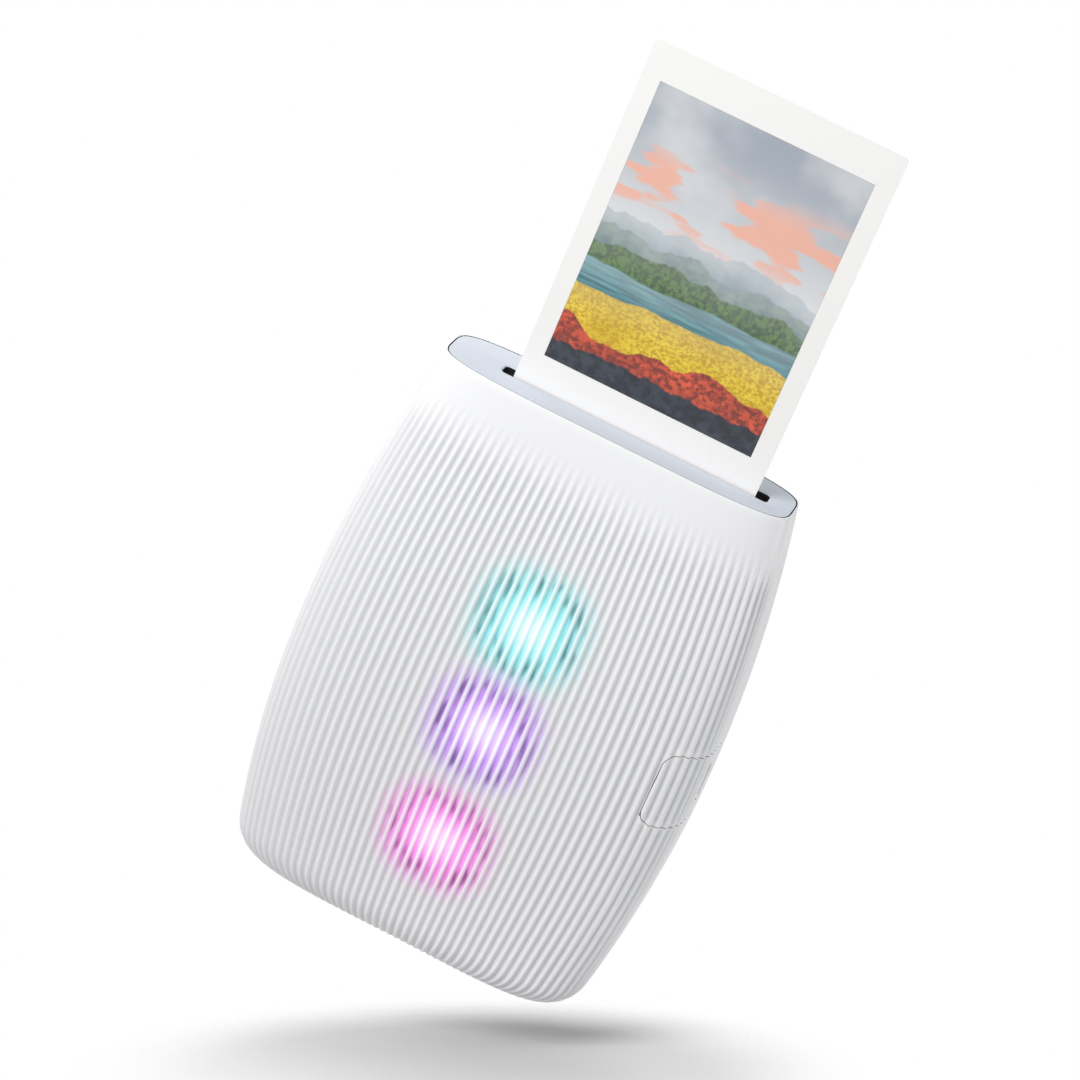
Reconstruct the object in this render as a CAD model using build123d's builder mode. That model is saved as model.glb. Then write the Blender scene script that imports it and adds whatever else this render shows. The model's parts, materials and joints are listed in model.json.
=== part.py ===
"""Compact instant-film photo printer with a fluted barrel housing.

Frame: +Z up, the lit front at -Y, the charging port at +X, origin at the
middle of the flat base. All sizes in millimetres.
"""
from build123d import *
from math import atan2, copysign, cos, hypot, pi, radians, sin, sqrt
import os

os.makedirs("parts", exist_ok=True)

# ---------------------------------------------------------------- film and film pack
FILM_W = 54.0
FILM_H = 86.0
FILM_T = 0.4
IMAGE_SIDE_BORDER = 4.0
IMAGE_TOP_BORDER = 7.5
IMAGE_FOOT_BORDER = 16.5
IMAGE_W = FILM_W - 2 * IMAGE_SIDE_BORDER
IMAGE_H = FILM_H - IMAGE_TOP_BORDER - IMAGE_FOOT_BORDER
PICTURE_T = 0.12
PICTURE_GAP = 0.05
FILM_CORNER = 1.2
PRINT_IN = 9.5              # how far the finished print still reaches into the slot
FILM_GAP = 0.3              # free space each side of a moving film sheet
SHEETS_LEFT = 9
SHEET_PITCH = 0.42
PACK_SIDE_ROOM = 3.75       # from the film to the outside of its pack
PACK_END_ROOM = 6.0
PACK_W = FILM_W + 2 * PACK_SIDE_ROOM
PACK_D = 12.5
PACK_H = FILM_H + PACK_END_ROOM
PACK_WALL = 1.2

# ---------------------------------------------------------------- housing shape
SIDE_ROOM = 14.5            # from the film pack to the widest crests, for gears and port
BODY_WIDTH = PACK_W + 2 * SIDE_ROOM
BODY_DEPTH = 37.3
WIDEST_HEIGHT = 55.0
TOP_DRAW_X = 6.75           # how far each side is drawn in at the top
TOP_DRAW_Y = 8.85
BASE_DRAW_X = 5.85          # the same at the base, if it had no rounding
BASE_DRAW_Y = 4.15
TOP_WIDTH = BODY_WIDTH - 2 * TOP_DRAW_X
TOP_DEPTH = BODY_DEPTH - 2 * TOP_DRAW_Y
BASE_WIDTH = BODY_WIDTH - 2 * BASE_DRAW_X
BASE_DEPTH = BODY_DEPTH - 2 * BASE_DRAW_Y
BASE_ROUND_X = 8.3
BASE_ROUND_Y = 5.5
SECTION_POWER = 4.2         # 2 is an ellipse, higher is squarer
WALL = 1.8
FLUTES_PER_HALF = 56
PLAIN_SIDES = 24            # flats round half of each plain outline
FLUTE_DEPTH = 0.5
FLUTE_FADE = 12.0           # height over which the flutes die out
SMOOTH_TOP = 6.0            # plain band under the top plate
PARTING_GAP = 0.12          # line between neighbouring outer pieces

# ---------------------------------------------------------------- film path
PATH_X = 3.2                # the film runs off centre, past the gear train
FILM_Y = -1.85
PACK_FLOOR_Z = 11.5
HEAD_ROOM = 12.5            # from the top of the pack to the roller axes
ROLLER_DROP = 8.0           # from the roller axes to the top plate
ROLLER_Z = PACK_FLOOR_Z + PACK_H + HEAD_ROOM
BODY_HEIGHT = ROLLER_Z + ROLLER_DROP
PACK_TOP_Z = PACK_FLOOR_Z + PACK_H
FILM_FRONT_Y = FILM_Y - FILM_T / 2
PACK_FRONT_Y = FILM_FRONT_Y - FILM_GAP - PACK_WALL
PACK_BACK_Y = PACK_FRONT_Y + PACK_D
PACK_LEFT_X = PATH_X - PACK_W / 2
PACK_RIGHT_X = PATH_X + PACK_W / 2
FILM_REST_Z = PACK_FLOOR_Z + PACK_WALL + 0.3
PRINT_FOOT_Z = BODY_HEIGHT - PRINT_IN

# ---------------------------------------------------------------- general clearances
SEAT = 0.3                  # between pieces that only rest beside each other
RUNNING = 0.05              # radial, shaft in bore
PRESSED = 0.01              # radial, shaft pressed into a bore
SMALL_SIDES = 12            # flats that stand for a small round bar or hole

# ---------------------------------------------------------------- top
PLATE_T = 1.6
PLATE_EDGE = 0.45           # rim of the covers left round the plate
SLOT_SIDE_GAP = 2.65        # from the print to each end of the slot
SLOT_W = FILM_W + 2 * SLOT_SIDE_GAP
SLOT_D = 4.0
SLOT_FRONT_GAP = 0.45       # from the front wall of the slot to the print
SLOT_CORNER = 1.0
GUIDE_T = 3.5
GUIDE_MARGIN_X = 1.7
GUIDE_MARGIN_Y = 2.0
GUIDE_THROAT_GAP_X = 0.8
GUIDE_THROAT_GAP_Y = 0.7

# ---------------------------------------------------------------- chassis
CHASSIS_WALL = 1.5
PACK_SIDE_GAP = 0.4
CHASSIS_REAR_GAP = 0.35     # the pack's back stands this far inside the frame
CHASSIS_NECK_Z = PACK_TOP_Z + 0.5
CHASSIS_TOP_Z = ROLLER_Z - 5.0
CHASSIS_NECK_BACK_Y = 7.4
CHASSIS_LEFT_X = PACK_LEFT_X - PACK_SIDE_GAP - CHASSIS_WALL
CHASSIS_RIGHT_X = PACK_RIGHT_X + PACK_SIDE_GAP + CHASSIS_WALL
CHASSIS_FRONT_Y = PACK_FRONT_Y - SEAT - CHASSIS_WALL
CHASSIS_BACK_Y = PACK_BACK_Y + CHASSIS_REAR_GAP
CHASSIS_FLOOR_Z = PACK_FLOOR_Z - SEAT - CHASSIS_WALL
EAR = 5.6
EAR_T = 2.0
EAR_FRONT_Y = -3.0
EAR_LOW_Z = 30.0
EAR_HIGH_Z = 86.0
EAR_WALL_GAP = 0.8          # from the right ears to the inside of the cover
SCREW_R = 1.0
SCREW_HEAD_R = 2.0
SCREW_HEAD_T = 1.4
SCREW_LENGTH = 7.0
SCREW_GAP = 0.05
BOSS_R = 2.0

# ---------------------------------------------------------------- rollers and gears
ROLLER_R = 2.2
NIP_GAP = 0.3               # from each roller to the film
ROLLER_LENGTH = FILM_W + 1.0
SHAFT_R = 1.25
MODULE = 0.45
ROLLER_TEETH = 12
IDLER_TEETH = 18
SMALL_TEETH = 12
BIG_TEETH = 30
PINION_TEETH = 8
IDLER_TURN = 5.0            # directions of the gear centres, degrees from straight down
REDUCTION_TURN = 25.0
MOTOR_TURN = -61.8
GEAR_T = 1.8
GEAR_STANDOFF = 1.05        # from the chassis wall to the first gear
GEAR_PLANE_GAP = 0.4
PIN_R = 0.9
FRAME_T = 1.2
FRAME_MARGIN = 2.7          # from the front roller's axis to the edge of the frame
FRAME_TOP_GAP = 0.2
MOTOR_R = 3.0
MOTOR_LENGTH = 15.0
MOTOR_SHAFT_R = 0.5
NIP_Y = FILM_T / 2 + NIP_GAP + ROLLER_R
DRIVE_Y = FILM_Y - NIP_Y
PINCH_Y = FILM_Y + NIP_Y
GEAR_X = CHASSIS_LEFT_X - GEAR_STANDOFF
OUTER_GEAR_X = GEAR_X - GEAR_T - GEAR_PLANE_GAP

# ---------------------------------------------------------------- exposure head and claw
HEAD_D = 5.6
HEAD_H = 5.2
HEAD_GAP = 0.85             # from the head's body to the film
HEAD_LIFT = 1.8             # from the top of the pack to the head
LENS_H = 2.0
LENS_T = 0.45
CLAW_X = PATH_X + FILM_W / 2 - 1.7
CLAW_W = 3.0
CLAW_T = 0.85
CLAW_STROKE = 9.0
CLAW_TOP_Z = 44.0
CLAW_FINGER = 1.1
RAIL_W = 0.8
KEEPER_Z = 33.0
KEEPER_H = 3.0

# ---------------------------------------------------------------- electronics
BOARD_T = 1.2
BOARD_W = 60.0
BOARD_H = 27.0
BOARD_Z = 63.0
BOARD_STANDOFF = 1.05
POST_R = 2.0
CAN_SIZE = 14.0
CAN_T = 1.6
BATTERY_W = 44.0
BATTERY_H = 44.0
BATTERY_T = 4.2
BATTERY_Z = 16.0
LIGHT_X = 1.0
LIGHT_HEIGHTS = (30.0, 58.5, 83.0)
LIGHT_BOARD_W = 12.0
LIGHT_BOARD_T = 1.0
LIGHT_BOARD_Z = 10.5
LIGHT_BOARD_H = 84.5
LIGHT_BOARD_Y = -11.4
CHIP_SIZE = 3.5
CHIP_T = 0.9
DIFFUSER_HALF = 9.0
DIFFUSER_FOOT_HALF = 3.4
DIFFUSER_RIM = 1.0

# ---------------------------------------------------------------- right side: charging port
PORT_Z = 62.6
PORT_Y = -3.2
PANEL_H = 17.3
PANEL_REACH = 8.45          # from the widest crest to the front edge of the panel
PANEL_FRONT_X = BODY_WIDTH / 2 - PANEL_REACH
PANEL_CORNER = 3.3
SOCKET_W = 8.94
SOCKET_H = 3.26
SOCKET_DEPTH = 7.4
SOCKET_WALL = 0.3
SOCKET_RECESS = 0.35
SOCKET_GAP = 0.08
TONGUE_W = 6.7
TONGUE_H = 0.7
TONGUE_L = 4.8
PORT_BOARD_H = 21.0
PORT_BOARD_T = 1.0

# ---------------------------------------------------------------- left side: power button
BUTTON_Z = 70.0
BUTTON_Y = -5.5
BUTTON_L = 14.0
BUTTON_W = 5.0
BUTTON_GAP = 0.25
BUTTON_FLANGE = 1.5
BUTTON_FLANGE_T = 1.0
BUTTON_STEM_R = 1.2
BUTTON_STEM = 1.6
BUTTON_TRAVEL = 0.5
BUTTON_RECESS = 0.25
SWITCH_SIZE = 6.0
SWITCH_T = 3.0
SWITCH_PLUNGER_R = 1.4
SWITCH_PLUNGER = 0.8

# ---------------------------------------------------------------- back: film door
DOOR_SIDE_ROOM = 5.75       # from the film pack to each side of the door
DOOR_W = PACK_W + 2 * DOOR_SIDE_ROOM
DOOR_CORNER = 5.0
DOOR_GAP = 0.35
HINGE_DROP = 2.3            # hinge axis below the floor of the pack
HINGE_INSET = 2.0           # hinge axis inside the outer skin
HINGE_TO_DOOR = 2.4         # hinge axis to the lower edge of the door
KNUCKLE_R = 1.9             # to the corners of the eight-sided knuckles
KNUCKLE_SIDES = 8
KNUCKLE_IN_X = 10.0
KNUCKLE_OUT_X = 16.0
LUG_OUT_X = 21.0
HINGE_PIN_R = 0.7
HINGE_GAP = 0.3
LINER_T = 1.5
LINER_W = PACK_W - 5.5
LINER_LOW_Z = 15.0
PAD_T = 1.35
PAD_W = 14.0
PAD_H = 50.0
PAD_SPACING = 32.0
LINER_POST_HALF = 2.0
LATCH_W = 14.4
LATCH_T = 1.2
LATCH_H = 12.2
LATCH_TRAVEL = 4.0
LATCH_TAB_W = 12.0
LATCH_TAB_H = 5.4
LATCH_TAB_PROUD = 0.4
LATCH_TAB_DROP = 1.2        # from the door's edge to the tab
LATCH_RAIL = 1.2
SPRING_H = 6.5
SPRING_WIRE = 0.5
SPRING_W = 9.0
SPRING_FOLDS = 4

# ================================================================ barrel surface
BASE_ROUND_STEP = 1.3       # height of the first step of the rounded lower edge


def barrel(height, widest, at_top, at_base):
    """Half size of the barrel at a height: two parabolas that meet at the widest."""
    if height > WIDEST_HEIGHT:
        share = (height - WIDEST_HEIGHT) / (BODY_HEIGHT - WIDEST_HEIGHT)
        return widest - (widest - at_top) * share**2
    share = (WIDEST_HEIGHT - height) / WIDEST_HEIGHT
    return widest - (widest - at_base) * share**2


def half_sizes(height, inset=0.0):
    """Half width and half depth of the housing at a height, less an inset."""
    a = barrel(height, BODY_WIDTH / 2, TOP_WIDTH / 2, BASE_WIDTH / 2)
    b = barrel(height, BODY_DEPTH / 2, TOP_DEPTH / 2, BASE_DEPTH / 2)
    if height < BASE_ROUND_X:
        drawn_in = 1 - sqrt(1 - (1 - height / BASE_ROUND_X) ** 2)
        a -= BASE_ROUND_X * drawn_in
        b -= BASE_ROUND_Y * drawn_in
    return a - inset, b - inset


def section_point(a, b, angle):
    c, s = cos(angle), sin(angle)
    power = 2 / SECTION_POWER
    return a * copysign(abs(c) ** power, c), b * copysign(abs(s) ** power, s)


def skin_y(height, x=0.0, inset=0.0):
    """How far the skin stands from the middle plane at a height and an x."""
    a, b = half_sizes(height, inset)
    return b * (1 - abs(x / a) ** SECTION_POWER) ** (1 / SECTION_POWER)


def skin_x(height, y=0.0, inset=0.0):
    a, b = half_sizes(height, inset)
    return a * (1 - abs(y / b) ** SECTION_POWER) ** (1 / SECTION_POWER)


def even_angles(count, a, b, samples=1000):
    """Angles that cut half a section into equal lengths."""
    angles = []
    for quarter in (0, 1):
        for i in range(samples):
            u = i / samples
            angles.append(pi / 2 * (quarter + u * u * (3 - 2 * u)))
    angles.append(pi)
    lengths = [0.0]
    for before, after in zip(angles, angles[1:]):
        x0, y0 = section_point(a, b, before)
        x1, y1 = section_point(a, b, after)
        lengths.append(lengths[-1] + hypot(x1 - x0, y1 - y0))
    chosen = []
    index = 0
    for step in range(count + 1):
        wanted = lengths[-1] * step / count
        while lengths[index + 1] < wanted and index < len(angles) - 2:
            index += 1
        share = (wanted - lengths[index]) / (lengths[index + 1] - lengths[index])
        chosen.append(angles[index] + share * (angles[index + 1] - angles[index]))
    return chosen


FLUTE_ANGLES = even_angles(2 * FLUTES_PER_HALF, BODY_WIDTH / 2, BODY_DEPTH / 2)
PLAIN_ANGLES = even_angles(PLAIN_SIDES, BODY_WIDTH / 2, BODY_DEPTH / 2)


def fluted_points(height, side):
    """Half a section with a crest and a groove for every flute."""
    a, b = half_sizes(height)
    rise = (SMOOTH_START_Z - height) / FLUTE_FADE
    depth = FLUTE_DEPTH * min(max(rise, 0), 1)
    points = []
    for index, angle in enumerate(FLUTE_ANGLES):
        x, y = section_point(a, b, angle)
        nx = copysign(abs(x / a) ** (SECTION_POWER - 1) / a, x)
        ny = abs(y / b) ** (SECTION_POWER - 1) / b
        groove = depth / hypot(nx, ny) if index % 2 == 0 else 0.0
        points.append((x - groove * nx, side * (y - groove * ny)))
    points[0] = (points[0][0], 0.0)
    points[-1] = (points[-1][0], 0.0)
    return points


def plain_points(height, side, inset):
    a, b = half_sizes(height, inset)
    points = [section_point(a, b, angle) for angle in PLAIN_ANGLES]
    points = [(x, side * y) for x, y in points]
    points[0] = (a, 0.0)
    points[-1] = (-a, 0.0)
    return points


def flat_facet(*corners):
    return Face(Wire.make_polygon(corners))


def faceted_solid(levels, outline):
    """A solid through closed half sections, with two flat triangles for every step."""
    rings = []
    for height in levels:
        rings.append([Vector(x, y, height) for x, y in outline(height)])
    facets = [flat_facet(*rings[0]), flat_facet(*rings[-1])]
    for low, high in zip(rings, rings[1:]):
        for index in range(len(low)):
            after = (index + 1) % len(low)
            if index % 2:
                facets.append(flat_facet(low[index], low[after], high[after]))
                facets.append(flat_facet(low[index], high[after], high[index]))
            else:
                facets.append(flat_facet(low[index], low[after], high[index]))
                facets.append(flat_facet(low[after], high[after], high[index]))
    return Solid(Shell(facets))


SMOOTH_START_Z = BODY_HEIGHT - SMOOTH_TOP
FADE_START_Z = SMOOTH_START_Z - FLUTE_FADE
LOWER_MID_Z = (BASE_ROUND_X + WIDEST_HEIGHT) / 2
UPPER_MID_Z = (WIDEST_HEIGHT + FADE_START_Z) / 2
BARREL_LEVELS = [0.0, BASE_ROUND_STEP, BASE_ROUND_X, LOWER_MID_Z, WIDEST_HEIGHT, UPPER_MID_Z]
BARREL_LEVELS += [FADE_START_Z, SMOOTH_START_Z, BODY_HEIGHT]

PLATE_FLOOR_Z = BODY_HEIGHT - PLATE_T
CAVITY_LEVELS = [WALL, BASE_ROUND_X, LOWER_MID_Z, WIDEST_HEIGHT, UPPER_MID_Z]
CAVITY_LEVELS += [FADE_START_Z, PLATE_FLOOR_Z]


def cover_shell(side):
    """One half of the housing: fluted outside, plain inside, seat for the top plate."""
    outer = faceted_solid(BARREL_LEVELS, lambda height: fluted_points(height, side))
    cavity = faceted_solid(CAVITY_LEVELS, lambda height: plain_points(height, side, WALL))
    with BuildPart() as shell:
        add(outer)
        add(cavity, mode=Mode.SUBTRACT)
        with BuildSketch(Plane.XY.offset(PLATE_FLOOR_Z)):
            with BuildLine():
                Polyline(*plain_points(BODY_HEIGHT, side, PLATE_EDGE), close=True)
            make_face()
        extrude(amount=PLATE_T, mode=Mode.SUBTRACT)
    return shell.part


def block(x0, x1, y0, y1, z0, z1):
    """A box between two corners, kept apart until it is added to a piece."""
    size = (x1 - x0, y1 - y0, z1 - z0)
    middle = ((x0 + x1) / 2, (y0 + y1) / 2, (z0 + z1) / 2)
    return Pos(*middle) * Box(*size, mode=Mode.PRIVATE)


def rod(x0, x1, y, z, radius):
    """A round bar along X between two places."""
    bar = Cylinder(radius, x1 - x0, mode=Mode.PRIVATE)
    return Pos((x0 + x1) / 2, y, z) * Rot(0, 90, 0) * bar


def flat_sided(plane, place, radius, sides, length):
    """A bar with flat sides that stand a radius from its axis, one side square to the plane's x."""
    with BuildPart() as bar:
        with BuildSketch(plane):
            with Locations(place):
                RegularPolygon(radius, sides, major_radius=False, rotation=180 / sides)
        extrude(amount=length)
    return bar.part


def small_round(x0, x1, y, z, radius):
    """A small round bar or hole along X, drawn with flats."""
    return flat_sided(Plane.YZ.offset(x0), (y, z), radius, SMALL_SIDES, x1 - x0)


def small_round_y(x, y0, y1, z, radius):
    """A small round bar or hole along Y, drawn with flats."""
    return flat_sided(Plane.XZ.offset(-y0), (x, z), radius, SMALL_SIDES, y0 - y1)


def save(piece, name):
    piece.label = name
    export_step(piece, "parts/" + name + ".step")


# ================================================================ front cover and port panel
front_shell = cover_shell(-1)
EAR_PLACES = []
for ear_z in (EAR_LOW_Z, EAR_HIGH_Z):
    EAR_PLACES.append((CHASSIS_LEFT_X - EAR / 2, ear_z))
    cover_x = skin_x(ear_z, EAR_FRONT_Y, WALL)
    EAR_PLACES.append(((CHASSIS_RIGHT_X + cover_x - EAR_WALL_GAP) / 2, ear_z))
SCREW_PLACES = EAR_PLACES[-2:]


def panel_prism(gap):
    """The cut that parts the port panel from the front cover, seen along Y."""
    reach = BODY_WIDTH / 2 + 5 - PANEL_FRONT_X
    with BuildPart() as prism:
        with BuildSketch(Plane.XZ):
            with Locations((PANEL_FRONT_X + reach, PORT_Z)):
                RectangleRounded(2 * (reach - gap), PANEL_H - 2 * gap, PANEL_CORNER - gap)
        extrude(amount=BODY_DEPTH)
    return prism.part


socket_hole = block(
    BODY_WIDTH / 2 - SOCKET_DEPTH, BODY_WIDTH / 2 + 1,
    PORT_Y - SOCKET_H / 2 - SOCKET_GAP, PORT_Y + SOCKET_H / 2 + SOCKET_GAP,
    PORT_Z - SOCKET_W / 2 - SOCKET_GAP, PORT_Z + SOCKET_W / 2 + SOCKET_GAP,
)
with BuildPart() as port_panel:
    add(front_shell)
    add(panel_prism(PARTING_GAP), mode=Mode.INTERSECT)
    add(socket_hole, mode=Mode.SUBTRACT)
save(port_panel.part, "port_panel")


def button_cut(gap, x0, x1):
    """The pill outline of the power button as a bar along X."""
    with BuildPart() as bar:
        with BuildSketch(Plane.YZ.offset(x0)):
            with Locations((BUTTON_Y, BUTTON_Z)):
                SlotOverall(BUTTON_L + 2 * gap, BUTTON_W + 2 * gap, rotation=90)
        extrude(amount=x1 - x0)
    return bar.part


bosses = []
boss_holes = []
for boss_x, boss_z in EAR_PLACES:
    boss_root_y = -skin_y(boss_z, abs(boss_x) + BOSS_R, WALL / 2)
    bosses.append(block(boss_x - BOSS_R, boss_x + BOSS_R, boss_root_y, EAR_FRONT_Y,
                        boss_z - BOSS_R, boss_z + BOSS_R))
for screw_x, screw_z in SCREW_PLACES:
    hole_end_y = EAR_FRONT_Y - SCREW_LENGTH
    boss_holes.append(small_round_y(screw_x, hole_end_y, EAR_FRONT_Y, screw_z, SCREW_R + SCREW_GAP))
front_cuts = [panel_prism(0)]
front_cuts.append(button_cut(BUTTON_GAP, -BODY_WIDTH / 2 - 1, -BODY_WIDTH / 2 + 2 * WALL))
with BuildPart() as front_cover:
    add(front_shell)
    add(bosses)
    add(front_cuts + boss_holes, mode=Mode.SUBTRACT)
save(front_cover.part, "front_cover")

# ================================================================ rear cover and film door
rear_shell = cover_shell(1)
HINGE_Z = PACK_FLOOR_Z - HINGE_DROP
HINGE_Y = skin_y(HINGE_Z) - HINGE_INSET - FLUTE_DEPTH / 2
DOOR_LOW_Z = HINGE_Z + HINGE_TO_DOOR
DOOR_TOP_Z = FADE_START_Z


def door_prism(gap):
    """The outline of the film door, seen along Y, grown by a gap."""
    height = DOOR_TOP_Z - DOOR_LOW_Z
    with BuildPart() as prism:
        with BuildSketch(Plane.XZ):
            with Locations((0, (DOOR_LOW_Z + DOOR_TOP_Z) / 2)):
                RectangleRounded(DOOR_W + 2 * gap, height + 2 * gap, DOOR_CORNER + gap)
        extrude(amount=-BODY_DEPTH)
    return prism.part


def hinge_sweep():
    """The space that the lower edge of the door passes through as it opens."""
    inner = HINGE_TO_DOOR - HINGE_GAP
    outer = hypot(HINGE_TO_DOOR, HINGE_INSET + FLUTE_DEPTH) + HINGE_GAP
    with BuildPart() as sweep_part:
        with BuildSketch(Plane.YZ.offset(-DOOR_W / 2)):
            with Locations((HINGE_Y, HINGE_Z)):
                RegularPolygon(outer, SMALL_SIDES, major_radius=False)
                RegularPolygon(inner, SMALL_SIDES, mode=Mode.SUBTRACT)
            with Locations((HINGE_Y - outer, HINGE_Z)):
                Rectangle(2 * outer, 2 * outer, mode=Mode.SUBTRACT)
            with Locations((HINGE_Y, HINGE_Z - outer)):
                Rectangle(2 * outer, 1.2 * outer, mode=Mode.SUBTRACT)
        extrude(amount=DOOR_W)
    return sweep_part.part


def knuckle(x0, x1):
    """An eight-sided bar round the hinge axis."""
    flat_r = KNUCKLE_R * cos(pi / KNUCKLE_SIDES)
    return flat_sided(Plane.YZ.offset(x0), (HINGE_Y, HINGE_Z), flat_r, KNUCKLE_SIDES, x1 - x0)


TROUGH_X = LUG_OUT_X + HINGE_GAP
KNUCKLE_ROOM = KNUCKLE_R + HINGE_GAP
LUG_FOOT_Z = HINGE_Z - 2 * KNUCKLE_R
rear_cuts = [door_prism(DOOR_GAP), hinge_sweep()]
rear_cuts.append(block(-TROUGH_X, TROUGH_X, HINGE_Y - KNUCKLE_ROOM, BODY_DEPTH / 2,
                       HINGE_Z, DOOR_LOW_Z))
KNUCKLE_ROOM_X = KNUCKLE_OUT_X + HINGE_GAP
rear_cuts.append(block(-KNUCKLE_ROOM_X, KNUCKLE_ROOM_X, HINGE_Y - KNUCKLE_ROOM, BODY_DEPTH / 2,
                       HINGE_Z - KNUCKLE_ROOM, DOOR_LOW_Z))
lugs = []
for lug_start, lug_end in (
    (-LUG_OUT_X, -KNUCKLE_OUT_X - HINGE_GAP),
    (KNUCKLE_OUT_X + HINGE_GAP, LUG_OUT_X),
):
    lugs.append(knuckle(lug_start, lug_end))
    lugs.append(block(lug_start, lug_end, HINGE_Y - KNUCKLE_R / 2, HINGE_Y + WALL / 2,
                      LUG_FOOT_Z, HINGE_Z))
pin_bore = small_round(-LUG_OUT_X, LUG_OUT_X, HINGE_Y, HINGE_Z, HINGE_PIN_R + RUNNING)
with BuildPart() as rear_cover:
    add(rear_shell)
    add(rear_cuts, mode=Mode.SUBTRACT)
    add(lugs)
    add(pin_bore, mode=Mode.SUBTRACT)
save(rear_cover.part, "rear_cover")

LATCH_TOP_Z = DOOR_TOP_Z - 0.05
LATCH_LOW_Z = LATCH_TOP_Z - LATCH_H
LATCH_OUT_Y = skin_y(DOOR_TOP_Z, 0, WALL) - SEAT
LATCH_IN_Y = LATCH_OUT_Y - LATCH_T
TAB_TOP_Z = DOOR_TOP_Z - LATCH_TAB_DROP
TAB_LOW_Z = TAB_TOP_Z - LATCH_TAB_H
SPRING_LOW_Z = LATCH_LOW_Z - SPRING_H
LATCH_HALF = LATCH_W / 2
SHELF_Z = SPRING_LOW_Z - LATCH_RAIL
tab_slot = block(-LATCH_TAB_W / 2 - SEAT, LATCH_TAB_W / 2 + SEAT, LATCH_OUT_Y, BODY_DEPTH / 2,
                 TAB_LOW_Z - LATCH_TRAVEL - SEAT, TAB_TOP_Z + SEAT)
door_ribs = []
for rail_side in (-1, 1):
    rail_in = rail_side * (LATCH_HALF + SEAT)
    rail_out = rail_side * (LATCH_HALF + SEAT + LATCH_RAIL)
    door_ribs.append(block(min(rail_in, rail_out), max(rail_in, rail_out), LATCH_IN_Y,
                           skin_y(DOOR_TOP_Z, 0, WALL / 2), SPRING_LOW_Z, LATCH_TOP_Z))
    near = rail_side * KNUCKLE_IN_X
    far = rail_side * KNUCKLE_OUT_X
    door_ribs.append(knuckle(min(near, far), max(near, far)))
    door_ribs.append(block(min(near, far), max(near, far), HINGE_Y - 0.6, HINGE_Y + WALL,
                           HINGE_Z, DOOR_LOW_Z + 0.4))
door_ribs.append(block(-LATCH_HALF, LATCH_HALF, LATCH_IN_Y, skin_y(SPRING_LOW_Z, 0, WALL / 2),
                       SHELF_Z, SPRING_LOW_Z))
with BuildPart() as film_door:
    add(rear_shell)
    add(door_prism(0), mode=Mode.INTERSECT)
    add(door_ribs)
    add([tab_slot, pin_bore], mode=Mode.SUBTRACT)
save(film_door.part, "film_door")

with BuildPart() as hinge_pin:
    pin_end = LUG_OUT_X - SEAT
    add(rod(-pin_end, pin_end, HINGE_Y, HINGE_Z, HINGE_PIN_R))
save(hinge_pin.part, "hinge_pin")

# ================================================================ door fittings
PAD_IN_Y = PACK_BACK_Y + SEAT
LINER_IN_Y = PAD_IN_Y + PAD_T
LINER_TOP_Z = SPRING_LOW_Z - LATCH_RAIL - SEAT
LINER_MID_Z = (LINER_LOW_Z + LINER_TOP_Z) / 2
LINER_LEFT_X = PATH_X - LINER_W / 2
LINER_POSTS = []
for post_x in (LINER_LEFT_X + 2 * LINER_POST_HALF, LINER_LEFT_X + LINER_W - 2 * LINER_POST_HALF):
    for post_z in (LINER_LOW_Z + 2 * LINER_POST_HALF, LINER_TOP_Z - 2 * LINER_POST_HALF):
        LINER_POSTS.append((post_x, post_z))
with BuildPart() as door_liner:
    with BuildSketch(Plane.XZ.offset(-LINER_IN_Y)):
        with Locations((PATH_X, LINER_MID_Z)):
            Rectangle(LINER_W, LINER_TOP_Z - LINER_LOW_Z)
    extrude(amount=-LINER_T)
    for post_x, post_z in LINER_POSTS:
        far_x = abs(post_x) + LINER_POST_HALF
        post_end_y = min(skin_y(post_z - LINER_POST_HALF, far_x, WALL),
                         skin_y(post_z + LINER_POST_HALF, far_x, WALL)) - SEAT
        add(block(post_x - LINER_POST_HALF, post_x + LINER_POST_HALF, LINER_IN_Y, post_end_y,
                  post_z - LINER_POST_HALF, post_z + LINER_POST_HALF))
save(door_liner.part, "door_liner")

with BuildPart() as pressure_pads:
    with BuildSketch(Plane.XZ.offset(-PAD_IN_Y)):
        for pad_side in (-1, 1):
            with Locations((PATH_X + pad_side * PAD_SPACING / 2, LINER_MID_Z)):
                Rectangle(PAD_W, PAD_H)
    extrude(amount=-PAD_T)
save(pressure_pads.part, "pressure_pads")

TAB_FACE_Y = skin_y((TAB_LOW_Z + TAB_TOP_Z) / 2) + LATCH_TAB_PROUD
GRIP_PITCH = LATCH_TAB_H / 4
with BuildPart() as door_latch:
    add(block(-LATCH_HALF, LATCH_HALF, LATCH_IN_Y, LATCH_OUT_Y, LATCH_LOW_Z, LATCH_TOP_Z))
    add(block(-LATCH_TAB_W / 2, LATCH_TAB_W / 2, LATCH_OUT_Y, TAB_FACE_Y, TAB_LOW_Z, TAB_TOP_Z))
    for grip in (1, 2, 3):
        grip_z = TAB_LOW_Z + grip * GRIP_PITCH
        add(block(-LATCH_TAB_W / 2 + 1, LATCH_TAB_W / 2 - 1, TAB_FACE_Y - 0.4, TAB_FACE_Y,
                  grip_z - 0.3, grip_z + 0.3), mode=Mode.SUBTRACT)
save(door_latch.part, "door_latch")

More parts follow.
